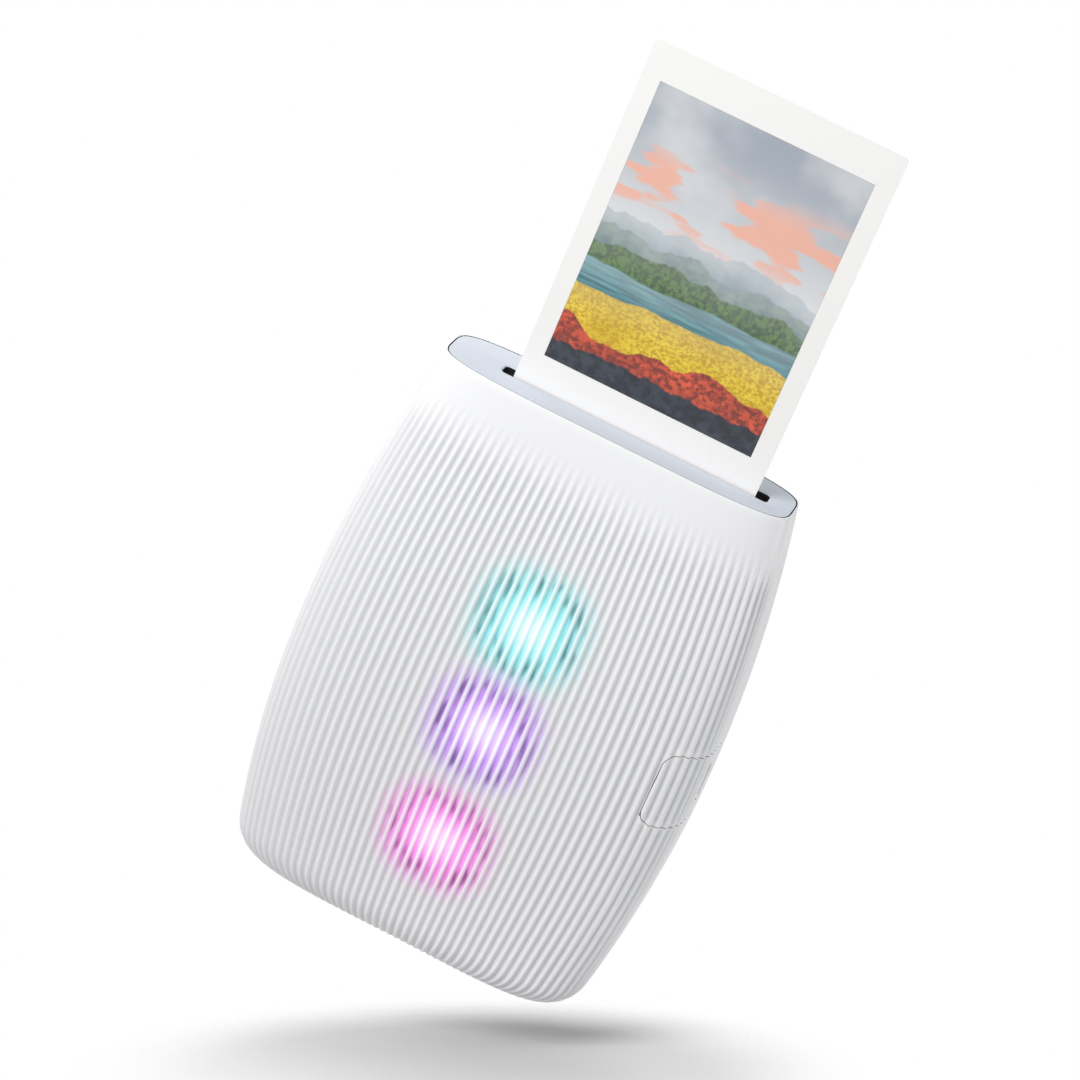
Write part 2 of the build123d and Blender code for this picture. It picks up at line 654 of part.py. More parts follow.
SPRING_STEP = (SPRING_H - SPRING_WIRE - 0.1) / SPRING_FOLDS
with BuildPart() as latch_spring:
    with BuildSketch(Plane.XZ.offset(-(LATCH_IN_Y + LATCH_OUT_Y - SPRING_WIRE) / 2)):
        with BuildLine():
            run = SPRING_W / 2
            spine = [(-run, SPRING_LOW_Z + 0.05 + SPRING_WIRE / 2)]
            for fold in range(SPRING_FOLDS):
                fold_side = 1 if fold % 2 == 0 else -1
                level = SPRING_LOW_Z + 0.05 + SPRING_WIRE / 2 + fold * SPRING_STEP
                spine.append((fold_side * run, level))
                spine.append((fold_side * run, level + SPRING_STEP))
            last_side = 1 if SPRING_FOLDS % 2 == 0 else -1
            spine.append((last_side * run, spine[-1][1]))
            path = Polyline(*spine)
            offset(path, amount=SPRING_WIRE / 2, kind=Kind.INTERSECTION)
        make_face()
    extrude(amount=-SPRING_WIRE)
save(latch_spring.part, "latch_spring")

# ================================================================ top plate and slot guide
SLOT_FRONT_Y = FILM_FRONT_Y - SLOT_FRONT_GAP
SLOT_MID_Y = SLOT_FRONT_Y + SLOT_D / 2
with BuildPart() as top_plate:
    with BuildSketch(Plane.XY.offset(PLATE_FLOOR_Z)):
        with BuildLine():
            rim = PLATE_EDGE + PARTING_GAP
            front_edge = plain_points(BODY_HEIGHT, -1, rim)
            back_edge = plain_points(BODY_HEIGHT, 1, rim)
            Polyline(*front_edge, *reversed(back_edge[1:-1]), close=True)
        make_face()
        with Locations((PATH_X, SLOT_MID_Y)):
            RectangleRounded(SLOT_W, SLOT_D, SLOT_CORNER, mode=Mode.SUBTRACT)
    extrude(amount=PLATE_T)
save(top_plate.part, "top_plate")

GUIDE_LOW_Z = PLATE_FLOOR_Z - GUIDE_T
with BuildPart() as slot_guide:
    with BuildSketch(Plane.XY.offset(GUIDE_LOW_Z)):
        with Locations((PATH_X, SLOT_MID_Y)):
            Rectangle(SLOT_W + 2 * GUIDE_MARGIN_X, SLOT_D + 2 * GUIDE_MARGIN_Y)
    extrude(amount=GUIDE_T)
    with BuildSketch(Plane.XY.offset(GUIDE_LOW_Z)):
        with Locations((PATH_X, FILM_Y)):
            Rectangle(FILM_W + 2 * GUIDE_THROAT_GAP_X, FILM_T + 2 * GUIDE_THROAT_GAP_Y)
    with BuildSketch(Plane.XY.offset(PLATE_FLOOR_Z)):
        with Locations((PATH_X, SLOT_MID_Y)):
            Rectangle(SLOT_W, SLOT_D)
    loft(ruled=True, mode=Mode.SUBTRACT)
save(slot_guide.part, "slot_guide")

# ================================================================ gear places
DRIVE_AXIS = (DRIVE_Y, ROLLER_Z)
PINCH_AXIS = (PINCH_Y, ROLLER_Z)


def below(axis, teeth_a, teeth_b, turn):
    """The centre of a meshing gear, at an angle from straight down."""
    distance = MODULE * (teeth_a + teeth_b) / 2
    return axis[0] + distance * sin(radians(turn)), axis[1] - distance * cos(radians(turn))


IDLER_AXIS = below(DRIVE_AXIS, ROLLER_TEETH, IDLER_TEETH, IDLER_TURN)
REDUCTION_AXIS = below(IDLER_AXIS, IDLER_TEETH, SMALL_TEETH, REDUCTION_TURN)
MOTOR_AXIS = below(REDUCTION_AXIS, BIG_TEETH, PINION_TEETH, MOTOR_TURN)


def mesh_phase(axis_a, teeth_a, phase_a, axis_b, teeth_b):
    """The tooth angle of gear b that puts it in mesh with gear a."""
    toward_b = atan2(axis_b[1] - axis_a[1], axis_b[0] - axis_a[0])
    toward_a = toward_b + pi
    return toward_a - (phase_a - toward_b) * teeth_a / teeth_b + pi / teeth_b


DRIVE_PHASE = 0.0
PINCH_PHASE = mesh_phase(DRIVE_AXIS, ROLLER_TEETH, DRIVE_PHASE, PINCH_AXIS, ROLLER_TEETH)
IDLER_PHASE = mesh_phase(DRIVE_AXIS, ROLLER_TEETH, DRIVE_PHASE, IDLER_AXIS, IDLER_TEETH)
SMALL_PHASE = mesh_phase(IDLER_AXIS, IDLER_TEETH, IDLER_PHASE, REDUCTION_AXIS, SMALL_TEETH)
BIG_PHASE = 0.0
PINION_PHASE = mesh_phase(REDUCTION_AXIS, BIG_TEETH, BIG_PHASE, MOTOR_AXIS, PINION_TEETH)
TOOTH_ADDENDUM = 0.85       # in modules
TOOTH_DEDENDUM = 1.25
TIP_SHARE = 0.13            # tooth width at the tip, as a share of the pitch


def gear_points(axis, teeth, phase):
    """A closed outline of flat-topped teeth that meet in the root."""
    pitch_r = MODULE * teeth / 2
    root_r = pitch_r - TOOTH_DEDENDUM * MODULE
    tip_r = pitch_r + TOOTH_ADDENDUM * MODULE
    half_pitch = pi / teeth
    half_tip = TIP_SHARE * half_pitch
    points = []
    for tooth in range(teeth):
        middle = phase + 2 * half_pitch * tooth
        for radius, angle in (
            (root_r, middle - half_pitch), (tip_r, middle - half_tip), (tip_r, middle + half_tip),
        ):
            points.append((axis[0] + radius * cos(angle), axis[1] + radius * sin(angle)))
    return points


def gear_disc(axis, teeth, phase, high_x):
    """A gear blank with teeth, its outer face at high_x, made towards -X."""
    with BuildPart() as disc:
        with BuildSketch(Plane.YZ.offset(high_x - GEAR_T)):
            with BuildLine():
                Polyline(*gear_points(axis, teeth, phase), close=True)
            make_face()
        extrude(amount=GEAR_T)
    return disc.part


# ================================================================ chassis
BOARD_BACK_Y = CHASSIS_FRONT_Y - BOARD_STANDOFF
BOARD_LEFT_X = PATH_X - BOARD_W / 2
BOARD_POSTS = []
for post_x in (BOARD_LEFT_X + 2 * POST_R, BOARD_LEFT_X + BOARD_W - 2 * POST_R):
    for post_z in (BOARD_Z + 2 * POST_R, BOARD_Z + BOARD_H - 2 * POST_R):
        BOARD_POSTS.append((post_x, post_z))
LIGHT_POSTS = (LIGHT_BOARD_Z + POST_R + 0.6, LIGHT_BOARD_Z + LIGHT_BOARD_H - POST_R - 0.6)
LIGHT_BOARD_BACK_Y = LIGHT_BOARD_Y + LIGHT_BOARD_T
BUTTON_FACE_X = -BODY_WIDTH / 2 + BUTTON_RECESS
BUTTON_FLANGE_X = -skin_x(BUTTON_Z + BUTTON_L, BUTTON_Y - BUTTON_W, WALL) + SEAT
BUTTON_STEM_END_X = BUTTON_FLANGE_X + BUTTON_FLANGE_T + BUTTON_STEM
SWITCH_TIP_X = BUTTON_STEM_END_X + BUTTON_TRAVEL + RUNNING
SWITCH_BASE_X = SWITCH_TIP_X + SWITCH_PLUNGER + SWITCH_T
CLAW_BACK_Y = CHASSIS_FRONT_Y - SEAT
CLAW_KEEPER_Y = CLAW_BACK_Y - CLAW_T - SEAT
CLAW_FINGER_Z = FILM_REST_Z - SEAT / 2 - CLAW_FINGER
CLAW_SLOT_TOP_Z = CLAW_FINGER_Z + CLAW_FINGER + CLAW_STROKE + SEAT
MOTOR_BRACKET_FRONT_Y = MOTOR_AXIS[0] - MOTOR_R + 0.7

with BuildPart() as chassis:
    # floor, two side walls with their narrower necks, and the front wall
    add(block(CHASSIS_LEFT_X, CHASSIS_RIGHT_X, CHASSIS_FRONT_Y, CHASSIS_BACK_Y,
              CHASSIS_FLOOR_Z, CHASSIS_FLOOR_Z + CHASSIS_WALL))
    for wall_x in (CHASSIS_LEFT_X, CHASSIS_RIGHT_X - CHASSIS_WALL):
        add(block(wall_x, wall_x + CHASSIS_WALL, CHASSIS_FRONT_Y, CHASSIS_BACK_Y,
                  CHASSIS_FLOOR_Z, CHASSIS_NECK_Z))
        add(block(wall_x, wall_x + CHASSIS_WALL, CHASSIS_FRONT_Y, CHASSIS_NECK_BACK_Y,
                  CHASSIS_NECK_Z, CHASSIS_TOP_Z))
    add(block(CHASSIS_LEFT_X, CHASSIS_RIGHT_X, CHASSIS_FRONT_Y, CHASSIS_FRONT_Y + CHASSIS_WALL,
              CHASSIS_FLOOR_Z, PACK_TOP_Z))
    # ears for the housing screws
    for ear_x, ear_z in EAR_PLACES:
        wall_face_x = CHASSIS_LEFT_X + 0.5 if ear_x < 0 else CHASSIS_RIGHT_X - 0.5
        tip_x = ear_x + copysign(EAR / 2, ear_x)
        add(block(min(wall_face_x, tip_x), max(wall_face_x, tip_x), EAR_FRONT_Y,
                  EAR_FRONT_Y + EAR_T, ear_z - EAR / 2, ear_z + EAR / 2))
    for screw_x, screw_z in SCREW_PLACES:
        add(small_round_y(screw_x, EAR_FRONT_Y, EAR_FRONT_Y + EAR_T, screw_z, SCREW_R + SCREW_GAP),
            mode=Mode.SUBTRACT)
    # posts for the main board and the light board
    for post_x, post_z in BOARD_POSTS:
        add(block(post_x - POST_R, post_x + POST_R, BOARD_BACK_Y, CHASSIS_FRONT_Y,
                  post_z - POST_R, post_z + POST_R))
    for post_z in LIGHT_POSTS:
        add(block(LIGHT_X - POST_R, LIGHT_X + POST_R, LIGHT_BOARD_BACK_Y, CHASSIS_FRONT_Y,
                  post_z - POST_R, post_z + POST_R))
    # bracket for the power switch
    add(block(SWITCH_BASE_X, CHASSIS_LEFT_X, BUTTON_Y - SWITCH_SIZE / 2, CHASSIS_FRONT_Y + CHASSIS_WALL,
              BUTTON_Z - SWITCH_SIZE / 2, BUTTON_Z + SWITCH_SIZE / 2))
    # motor bracket, with the open slot for the motor's shaft
    add(block(CHASSIS_LEFT_X, CHASSIS_LEFT_X + CHASSIS_WALL, MOTOR_BRACKET_FRONT_Y, CHASSIS_FRONT_Y,
              MOTOR_AXIS[1] - MOTOR_R, MOTOR_AXIS[1] + MOTOR_R))
    add(block(CHASSIS_LEFT_X, CHASSIS_LEFT_X + CHASSIS_WALL, MOTOR_BRACKET_FRONT_Y,
              MOTOR_AXIS[0] + 2 * MOTOR_SHAFT_R, MOTOR_AXIS[1] - 2 * MOTOR_SHAFT_R,
              MOTOR_AXIS[1] + 2 * MOTOR_SHAFT_R), mode=Mode.SUBTRACT)
    # spacers and bores for the gear pins
    for pin_axis in (IDLER_AXIS, REDUCTION_AXIS):
        add(small_round(GEAR_X + SEAT, CHASSIS_LEFT_X, *pin_axis, 2 * PIN_R))
        add(small_round(GEAR_X, CHASSIS_LEFT_X + CHASSIS_WALL, *pin_axis, PIN_R + PRESSED),
            mode=Mode.SUBTRACT)
    # guide rails and slot of the film claw
    for rail_side in (-1, 1):
        rail_in = CLAW_X + rail_side * (CLAW_W / 2 + SEAT)
        rail_out = CLAW_X + rail_side * (CLAW_W / 2 + SEAT + RAIL_W)
        add(block(min(rail_in, rail_out), max(rail_in, rail_out), CLAW_BACK_Y - CLAW_T,
                  CHASSIS_FRONT_Y, CLAW_SLOT_TOP_Z + 2, CLAW_TOP_Z))
        add(block(min(rail_in, rail_out), max(rail_in, rail_out), CLAW_KEEPER_Y - RAIL_W,
                  CHASSIS_FRONT_Y, KEEPER_Z, KEEPER_Z + KEEPER_H))
    add(block(CLAW_X - CLAW_W / 2 - SEAT, CLAW_X + CLAW_W / 2 + SEAT, CLAW_KEEPER_Y - RAIL_W,
              CLAW_KEEPER_Y, KEEPER_Z, KEEPER_Z + KEEPER_H))
    add(block(CLAW_X - CLAW_W / 2 - SEAT, CLAW_X + CLAW_W / 2 + SEAT, CHASSIS_FRONT_Y - 1,
              CHASSIS_FRONT_Y + CHASSIS_WALL, CLAW_FINGER_Z - SEAT, CLAW_SLOT_TOP_Z),
        mode=Mode.SUBTRACT)
save(chassis.part, "chassis")

SCREW_SEAT_Y = EAR_FRONT_Y + EAR_T
with BuildPart() as housing_screws:
    for screw_x, screw_z in SCREW_PLACES:
        shank_end_y = SCREW_SEAT_Y - SCREW_LENGTH
        add(small_round_y(screw_x, shank_end_y, SCREW_SEAT_Y, screw_z, SCREW_R))
        add(small_round_y(screw_x, SCREW_SEAT_Y, SCREW_SEAT_Y + SCREW_HEAD_T, screw_z, SCREW_HEAD_R))
save(housing_screws.part, "housing_screws")

# ================================================================ roller frame and rollers
FRAME_LEFT_X = CHASSIS_LEFT_X
FRAME_RIGHT_X = PATH_X + ROLLER_LENGTH / 2 + 1.0
FRAME_TOP_Z = GUIDE_LOW_Z - FRAME_TOP_GAP
FRAME_FRONT_Y = DRIVE_Y - FRAME_MARGIN
FRAME_BACK_Y = PINCH_Y + ROLLER_R + 1.35
with BuildPart() as roller_frame:
    for ear_x in (FRAME_LEFT_X, FRAME_RIGHT_X):
        add(block(ear_x, ear_x + FRAME_T, FRAME_FRONT_Y, FRAME_BACK_Y + FRAME_T,
                  CHASSIS_TOP_Z, FRAME_TOP_Z))
    add(block(FRAME_LEFT_X, FRAME_RIGHT_X + FRAME_T, FRAME_BACK_Y, FRAME_BACK_Y + FRAME_T,
              CHASSIS_TOP_Z, FRAME_TOP_Z))
    add(block(FRAME_LEFT_X, CHASSIS_RIGHT_X, FRAME_BACK_Y, CHASSIS_NECK_BACK_Y,
              CHASSIS_TOP_Z, CHASSIS_TOP_Z + FRAME_T))
    for shaft_y in (DRIVE_Y, PINCH_Y):
        add(small_round(FRAME_LEFT_X, FRAME_RIGHT_X + FRAME_T, shaft_y, ROLLER_Z, SHAFT_R + RUNNING),
            mode=Mode.SUBTRACT)
save(roller_frame.part, "roller_frame")

SHAFT_LEFT_X = GEAR_X - GEAR_T - SEAT
SHAFT_RIGHT_X = FRAME_RIGHT_X + FRAME_T + 0.8


def make_roller(axis, teeth, phase, roller_name, gear_name):
    """A roller on its shaft, and the gear that sits on the shaft's left end."""
    with BuildPart() as roller:
        add(rod(PATH_X - ROLLER_LENGTH / 2, PATH_X + ROLLER_LENGTH / 2, *axis, ROLLER_R))
        add(rod(SHAFT_LEFT_X, SHAFT_RIGHT_X, *axis, SHAFT_R))
    save(roller.part, roller_name)
    with BuildPart() as gear:
        add(gear_disc(axis, teeth, phase, GEAR_X))
        add(small_round(GEAR_X - GEAR_T, GEAR_X, *axis, SHAFT_R + PRESSED), mode=Mode.SUBTRACT)
    save(gear.part, gear_name)


make_roller(DRIVE_AXIS, ROLLER_TEETH, DRIVE_PHASE, "drive_roller", "drive_roller_gear")
make_roller(PINCH_AXIS, ROLLER_TEETH, PINCH_PHASE, "pinch_roller", "pinch_roller_gear")

with BuildPart() as idler_gear:
    add(gear_disc(IDLER_AXIS, IDLER_TEETH, IDLER_PHASE, GEAR_X))
    add(small_round(GEAR_X - GEAR_T, GEAR_X, *IDLER_AXIS, PIN_R + RUNNING), mode=Mode.SUBTRACT)
save(idler_gear.part, "idler_gear")

with BuildPart() as reduction_gear:
    add(gear_disc(REDUCTION_AXIS, SMALL_TEETH, SMALL_PHASE, GEAR_X))
    add(gear_disc(REDUCTION_AXIS, BIG_TEETH, BIG_PHASE, OUTER_GEAR_X))
    add(small_round(OUTER_GEAR_X, GEAR_X - GEAR_T, *REDUCTION_AXIS, 2 * PIN_R))
    add(small_round(OUTER_GEAR_X - GEAR_T, GEAR_X, *REDUCTION_AXIS, PIN_R + RUNNING),
        mode=Mode.SUBTRACT)
save(reduction_gear.part, "reduction_gear")

with BuildPart() as gear_pins:
    add(rod(GEAR_X - GEAR_T - 0.2, CHASSIS_LEFT_X + CHASSIS_WALL, *IDLER_AXIS, PIN_R))
    add(rod(OUTER_GEAR_X - GEAR_T - 0.2, CHASSIS_LEFT_X + CHASSIS_WALL, *REDUCTION_AXIS, PIN_R))
save(gear_pins.part, "gear_pins")

with BuildPart() as motor_pinion:
    add(gear_disc(MOTOR_AXIS, PINION_TEETH, PINION_PHASE, OUTER_GEAR_X))
    add(small_round(OUTER_GEAR_X - GEAR_T, OUTER_GEAR_X, *MOTOR_AXIS, MOTOR_SHAFT_R + RUNNING),
        mode=Mode.SUBTRACT)
save(motor_pinion.part, "motor_pinion")

MOTOR_FACE_X = CHASSIS_LEFT_X + CHASSIS_WALL
with BuildPart() as motor:
    add(rod(MOTOR_FACE_X, MOTOR_FACE_X + MOTOR_LENGTH, *MOTOR_AXIS, MOTOR_R))
    add(rod(OUTER_GEAR_X - GEAR_T, MOTOR_FACE_X, *MOTOR_AXIS, MOTOR_SHAFT_R))
save(motor.part, "motor")

# ================================================================ exposure head
HEAD_LOW_Z = PACK_TOP_Z + HEAD_LIFT
HEAD_BACK_Y = FILM_FRONT_Y - HEAD_GAP
HEAD_MID_Z = HEAD_LOW_Z + HEAD_H / 2
with BuildPart() as exposure_head:
    add(block(CHASSIS_LEFT_X + CHASSIS_WALL, CHASSIS_RIGHT_X - CHASSIS_WALL,
              HEAD_BACK_Y - HEAD_D, HEAD_BACK_Y, HEAD_LOW_Z, HEAD_LOW_Z + HEAD_H))
    chamfer(exposure_head.edges().filter_by(Axis.X).group_by(Axis.Y)[0], 1.2)
save(exposure_head.part, "exposure_head")

with BuildPart() as head_lens:
    add(block(PATH_X - IMAGE_W / 2 - 1, PATH_X + IMAGE_W / 2 + 1, HEAD_BACK_Y, HEAD_BACK_Y + LENS_T,
              HEAD_MID_Z - LENS_H / 2, HEAD_MID_Z + LENS_H / 2))
save(head_lens.part, "head_lens")

# ================================================================ film claw
with BuildPart() as film_claw:
    add(block(CLAW_X - CLAW_W / 2, CLAW_X + CLAW_W / 2, CLAW_BACK_Y - CLAW_T, CLAW_BACK_Y,
              CLAW_FINGER_Z, CLAW_TOP_Z))
    add(block(CLAW_X - CLAW_W / 2, CLAW_X + CLAW_W / 2, CLAW_BACK_Y - CLAW_T, FILM_Y + FILM_T / 2,
              CLAW_FINGER_Z, CLAW_FINGER_Z + CLAW_FINGER))
save(film_claw.part, "film_claw")

# ================================================================ film pack
with BuildPart() as film_pack_shell:
    add(block(PACK_LEFT_X, PACK_RIGHT_X, PACK_FRONT_Y, PACK_BACK_Y, PACK_FLOOR_Z, PACK_TOP_Z))
    fillet(film_pack_shell.edges().filter_by(Axis.Y), 1.0)
    add(block(PACK_LEFT_X + PACK_WALL, PACK_RIGHT_X - PACK_WALL, PACK_FRONT_Y + PACK_WALL,
              PACK_BACK_Y - PACK_WALL, PACK_FLOOR_Z + PACK_WALL, PACK_TOP_Z - PACK_WALL),
        mode=Mode.SUBTRACT)
    # picture window in the front, exit slit in the top, notch for the claw
    with BuildSketch(Plane.XZ.offset(-PACK_FRONT_Y)):
        with Locations((PATH_X, FILM_REST_Z + FILM_H - IMAGE_TOP_BORDER - IMAGE_H / 2)):
            Rectangle(IMAGE_W + 1, IMAGE_H + 1)
    extrude(amount=-PACK_WALL, mode=Mode.SUBTRACT)
    add(block(PATH_X - FILM_W / 2 - 0.6, PATH_X + FILM_W / 2 + 0.6, FILM_FRONT_Y - FILM_GAP,
              FILM_Y + FILM_T / 2 + FILM_GAP, PACK_TOP_Z - 2 * PACK_WALL, PACK_TOP_Z + 1),
        mode=Mode.SUBTRACT)
    add(block(CLAW_X - CLAW_W / 2 - SEAT, PACK_RIGHT_X - PACK_WALL, PACK_FRONT_Y - 1,
              PACK_FRONT_Y + PACK_WALL, PACK_FLOOR_Z - 1, CLAW_SLOT_TOP_Z), mode=Mode.SUBTRACT)
    add(block(CLAW_X - CLAW_W / 2 - SEAT, PACK_RIGHT_X - PACK_WALL, PACK_FRONT_Y - 1,
              FILM_Y + FILM_T / 2 + FILM_GAP, PACK_FLOOR_Z - 1, PACK_FLOOR_Z + 2 * PACK_WALL),
        mode=Mode.SUBTRACT)
save(film_pack_shell.part, "film_pack_shell")

STACK_FRONT_Y = FILM_Y + FILM_T / 2 + FILM_GAP
with BuildPart() as film_stack:
    for sheet in range(SHEETS_LEFT):
        sheet_y = STACK_FRONT_Y + sheet * SHEET_PITCH
        add(block(PATH_X - FILM_W / 2, PATH_X + FILM_W / 2, sheet_y, sheet_y + FILM_T,
                  FILM_REST_Z, FILM_REST_Z + FILM_H))
save(film_stack.part, "film_stack")

PRESS_T = 0.6
PRESS_FRONT_Y = STACK_FRONT_Y + SHEETS_LEFT * SHEET_PITCH
LEAF_W = 8.0
LEAF_T = 0.4
LEAF_REACH = 30.0
LEAF_CROWN = 8.0
LEAF_FOOT = 4.0
LEAF_RISE = PACK_BACK_Y - PACK_WALL - SEAT / 3 - PRESS_FRONT_Y - PRESS_T
PACK_MID_Z = (PACK_FLOOR_Z + PACK_TOP_Z) / 2
with BuildPart() as pack_pressure_plate:
    add(block(PATH_X - FILM_W / 2 + 2, PATH_X + FILM_W / 2 - 2, PRESS_FRONT_Y, PRESS_FRONT_Y + PRESS_T,
              FILM_REST_Z + 2, FILM_REST_Z + FILM_H - 2))
    for leaf_side in (-1, 1):
        with BuildSketch(Plane.YZ.offset(PATH_X + leaf_side * PAD_SPACING / 2 - LEAF_W / 2)):
            with BuildLine():
                foot_y = PRESS_FRONT_Y + PRESS_T
                crown_y = foot_y + LEAF_RISE
                Polyline((foot_y, PACK_MID_Z - LEAF_REACH), (crown_y, PACK_MID_Z - LEAF_CROWN),
                         (crown_y, PACK_MID_Z + LEAF_CROWN), (foot_y, PACK_MID_Z + LEAF_REACH),
                         (foot_y, PACK_MID_Z + LEAF_REACH - LEAF_FOOT),
                         (crown_y - LEAF_T, PACK_MID_Z + LEAF_CROWN),
                         (crown_y - LEAF_T, PACK_MID_Z - LEAF_CROWN),
                         (foot_y, PACK_MID_Z - LEAF_REACH + LEAF_FOOT), close=True)
            make_face()
        extrude(amount=LEAF_W)
save(pack_pressure_plate.part, "pack_pressure_plate")

# ================================================================ finished print
PRINT_TOP_Z = PRINT_FOOT_Z + FILM_H
IMAGE_MID_Z = PRINT_TOP_Z - IMAGE_TOP_BORDER - IMAGE_H / 2
with BuildPart() as print_card:
    with BuildSketch(Plane.XZ.offset(-FILM_FRONT_Y)):
        with Locations((PATH_X, (PRINT_FOOT_Z + PRINT_TOP_Z) / 2)):
            RectangleRounded(FILM_W, FILM_H, FILM_CORNER)
    extrude(amount=-FILM_T)
    with BuildSketch(Plane.XZ.offset(-FILM_FRONT_Y)):
        with Locations((PATH_X, IMAGE_MID_Z)):
            Rectangle(IMAGE_W, IMAGE_H)
    extrude(amount=-PICTURE_T, mode=Mode.SUBTRACT)
save(print_card.part, "print_card")

with BuildPart() as print_picture:
    with BuildSketch(Plane.XZ.offset(-FILM_FRONT_Y)):
        with Locations((PATH_X, IMAGE_MID_Z)):
            Rectangle(IMAGE_W - 2 * PICTURE_GAP, IMAGE_H - 2 * PICTURE_GAP)
    extrude(amount=-PICTURE_T)
save(print_picture.part, "print_picture")

# ================================================================ boards, battery, lights
BOARD_FRONT_Y = BOARD_BACK_Y - BOARD_T
with BuildPart() as main_board:
    add(block(BOARD_LEFT_X, BOARD_LEFT_X + BOARD_W, BOARD_FRONT_Y, BOARD_BACK_Y,
              BOARD_Z, BOARD_Z + BOARD_H))
    # connectors and chips
    for chip_x, chip_z, chip_w, chip_h in ((-14, 8, 9, 9), (-14, 19, 12, 5), (10, 6, 10, 4)):
        left = PATH_X + chip_x - chip_w / 2
        low = BOARD_Z + chip_z - chip_h / 2
        add(block(left, left + chip_w, BOARD_FRONT_Y - 1.2, BOARD_FRONT_Y, low, low + chip_h))
save(main_board.part, "main_board")

CAN_X = PATH_X + 16.0
CAN_Z = BOARD_Z + BOARD_H - CAN_SIZE / 2 - 3.5
with BuildPart() as shield_can:
    add(block(CAN_X - CAN_SIZE / 2, CAN_X + CAN_SIZE / 2, BOARD_FRONT_Y - CAN_T, BOARD_FRONT_Y,
              CAN_Z - CAN_SIZE / 2, CAN_Z + CAN_SIZE / 2))
save(shield_can.part, "shield_can")

with BuildPart() as battery:
    add(block(PATH_X - BATTERY_W / 2 - 2, PATH_X + BATTERY_W / 2 - 2, CHASSIS_FRONT_Y - SEAT - BATTERY_T,
              CHASSIS_FRONT_Y - SEAT, BATTERY_Z, BATTERY_Z + BATTERY_H))
    chamfer(battery.edges().filter_by(Axis.Z), 1.4)
save(battery.part, "battery")

with BuildPart() as light_board:
    add(block(LIGHT_X - LIGHT_BOARD_W / 2, LIGHT_X + LIGHT_BOARD_W / 2, LIGHT_BOARD_Y,
              LIGHT_BOARD_BACK_Y, LIGHT_BOARD_Z, LIGHT_BOARD_Z + LIGHT_BOARD_H))
save(light_board.part, "light_board")

with BuildPart() as light_chips:
    for light_z in LIGHT_HEIGHTS:
        half = CHIP_SIZE / 2
        add(block(LIGHT_X - half, LIGHT_X + half, LIGHT_BOARD_Y - CHIP_T, LIGHT_BOARD_Y,
                  light_z - half, light_z + half))
save(light_chips.part, "light_chips")


def make_diffuser(light_z, name):
    """A frosted square dish that spreads one light behind the front cover."""
    rim_x = DIFFUSER_HALF + abs(LIGHT_X)
    nearest = min(skin_y(light_z + DIFFUSER_HALF, rim_x, WALL),
                  skin_y(light_z - DIFFUSER_HALF, rim_x, WALL))
    face_y = -nearest + SEAT
    foot_y = LIGHT_BOARD_Y
    chip_room = CHIP_SIZE / 2 + SEAT
    depth = foot_y - face_y - DIFFUSER_RIM
    foot_start = DIFFUSER_HALF - DIFFUSER_FOOT_HALF
    foot_end = DIFFUSER_HALF + DIFFUSER_FOOT_HALF
    with BuildPart() as diffuser:
        add(block(LIGHT_X - DIFFUSER_HALF, LIGHT_X + DIFFUSER_HALF, face_y, face_y + DIFFUSER_RIM,
                  light_z - DIFFUSER_HALF, light_z + DIFFUSER_HALF))
        taper = Wedge(2 * DIFFUSER_HALF, depth, 2 * DIFFUSER_HALF, foot_start, foot_start, foot_end,
                      foot_end, mode=Mode.PRIVATE)
        add(Pos(LIGHT_X, foot_y - depth / 2, light_z) * taper)
        add(block(LIGHT_X - chip_room, LIGHT_X + chip_room, foot_y - CHIP_T - SEAT, foot_y,
                  light_z - chip_room, light_z + chip_room), mode=Mode.SUBTRACT)
    save(diffuser.part, name)


for light_z, place in zip(LIGHT_HEIGHTS, ("bottom", "middle", "top")):
    make_diffuser(light_z, "light_diffuser_" + place)

# ================================================================ charging port
SOCKET_MOUTH_X = skin_x(PORT_Z, PORT_Y) - FLUTE_DEPTH - SOCKET_RECESS
SOCKET_BACK_X = SOCKET_MOUTH_X - SOCKET_DEPTH
with BuildPart() as usb_shell:
    with BuildSketch(Plane.YZ.offset(SOCKET_BACK_X)):
        with Locations((PORT_Y, PORT_Z)):
            RectangleRounded(SOCKET_H, SOCKET_W, SOCKET_H / 2 - 0.1)
    extrude(amount=SOCKET_DEPTH)
    with BuildSketch(Plane.YZ.offset(SOCKET_BACK_X + 1)):
        with Locations((PORT_Y, PORT_Z)):
            RectangleRounded(SOCKET_H - 2 * SOCKET_WALL, SOCKET_W - 2 * SOCKET_WALL,
                             SOCKET_H / 2 - 0.1 - SOCKET_WALL)
    extrude(amount=SOCKET_DEPTH, mode=Mode.SUBTRACT)
save(usb_shell.part, "usb_shell")

with BuildPart() as usb_tongue:
    add(block(SOCKET_BACK_X + 1, SOCKET_BACK_X + 1 + TONGUE_L, PORT_Y - TONGUE_H / 2,
              PORT_Y + TONGUE_H / 2, PORT_Z - TONGUE_W / 2, PORT_Z + TONGUE_W / 2))
save(usb_tongue.part, "usb_tongue")

PORT_BOARD_Y = PORT_Y + SOCKET_H / 2
PORT_BOARD_END_X = skin_x(PORT_Z + PORT_BOARD_H / 2, PORT_BOARD_Y, WALL) - SEAT
with BuildPart() as port_board:
    add(block(CHASSIS_RIGHT_X, PORT_BOARD_END_X, PORT_BOARD_Y, PORT_BOARD_Y + PORT_BOARD_T,
              PORT_Z - PORT_BOARD_H / 2, PORT_Z + PORT_BOARD_H / 2))
save(port_board.part, "port_board")

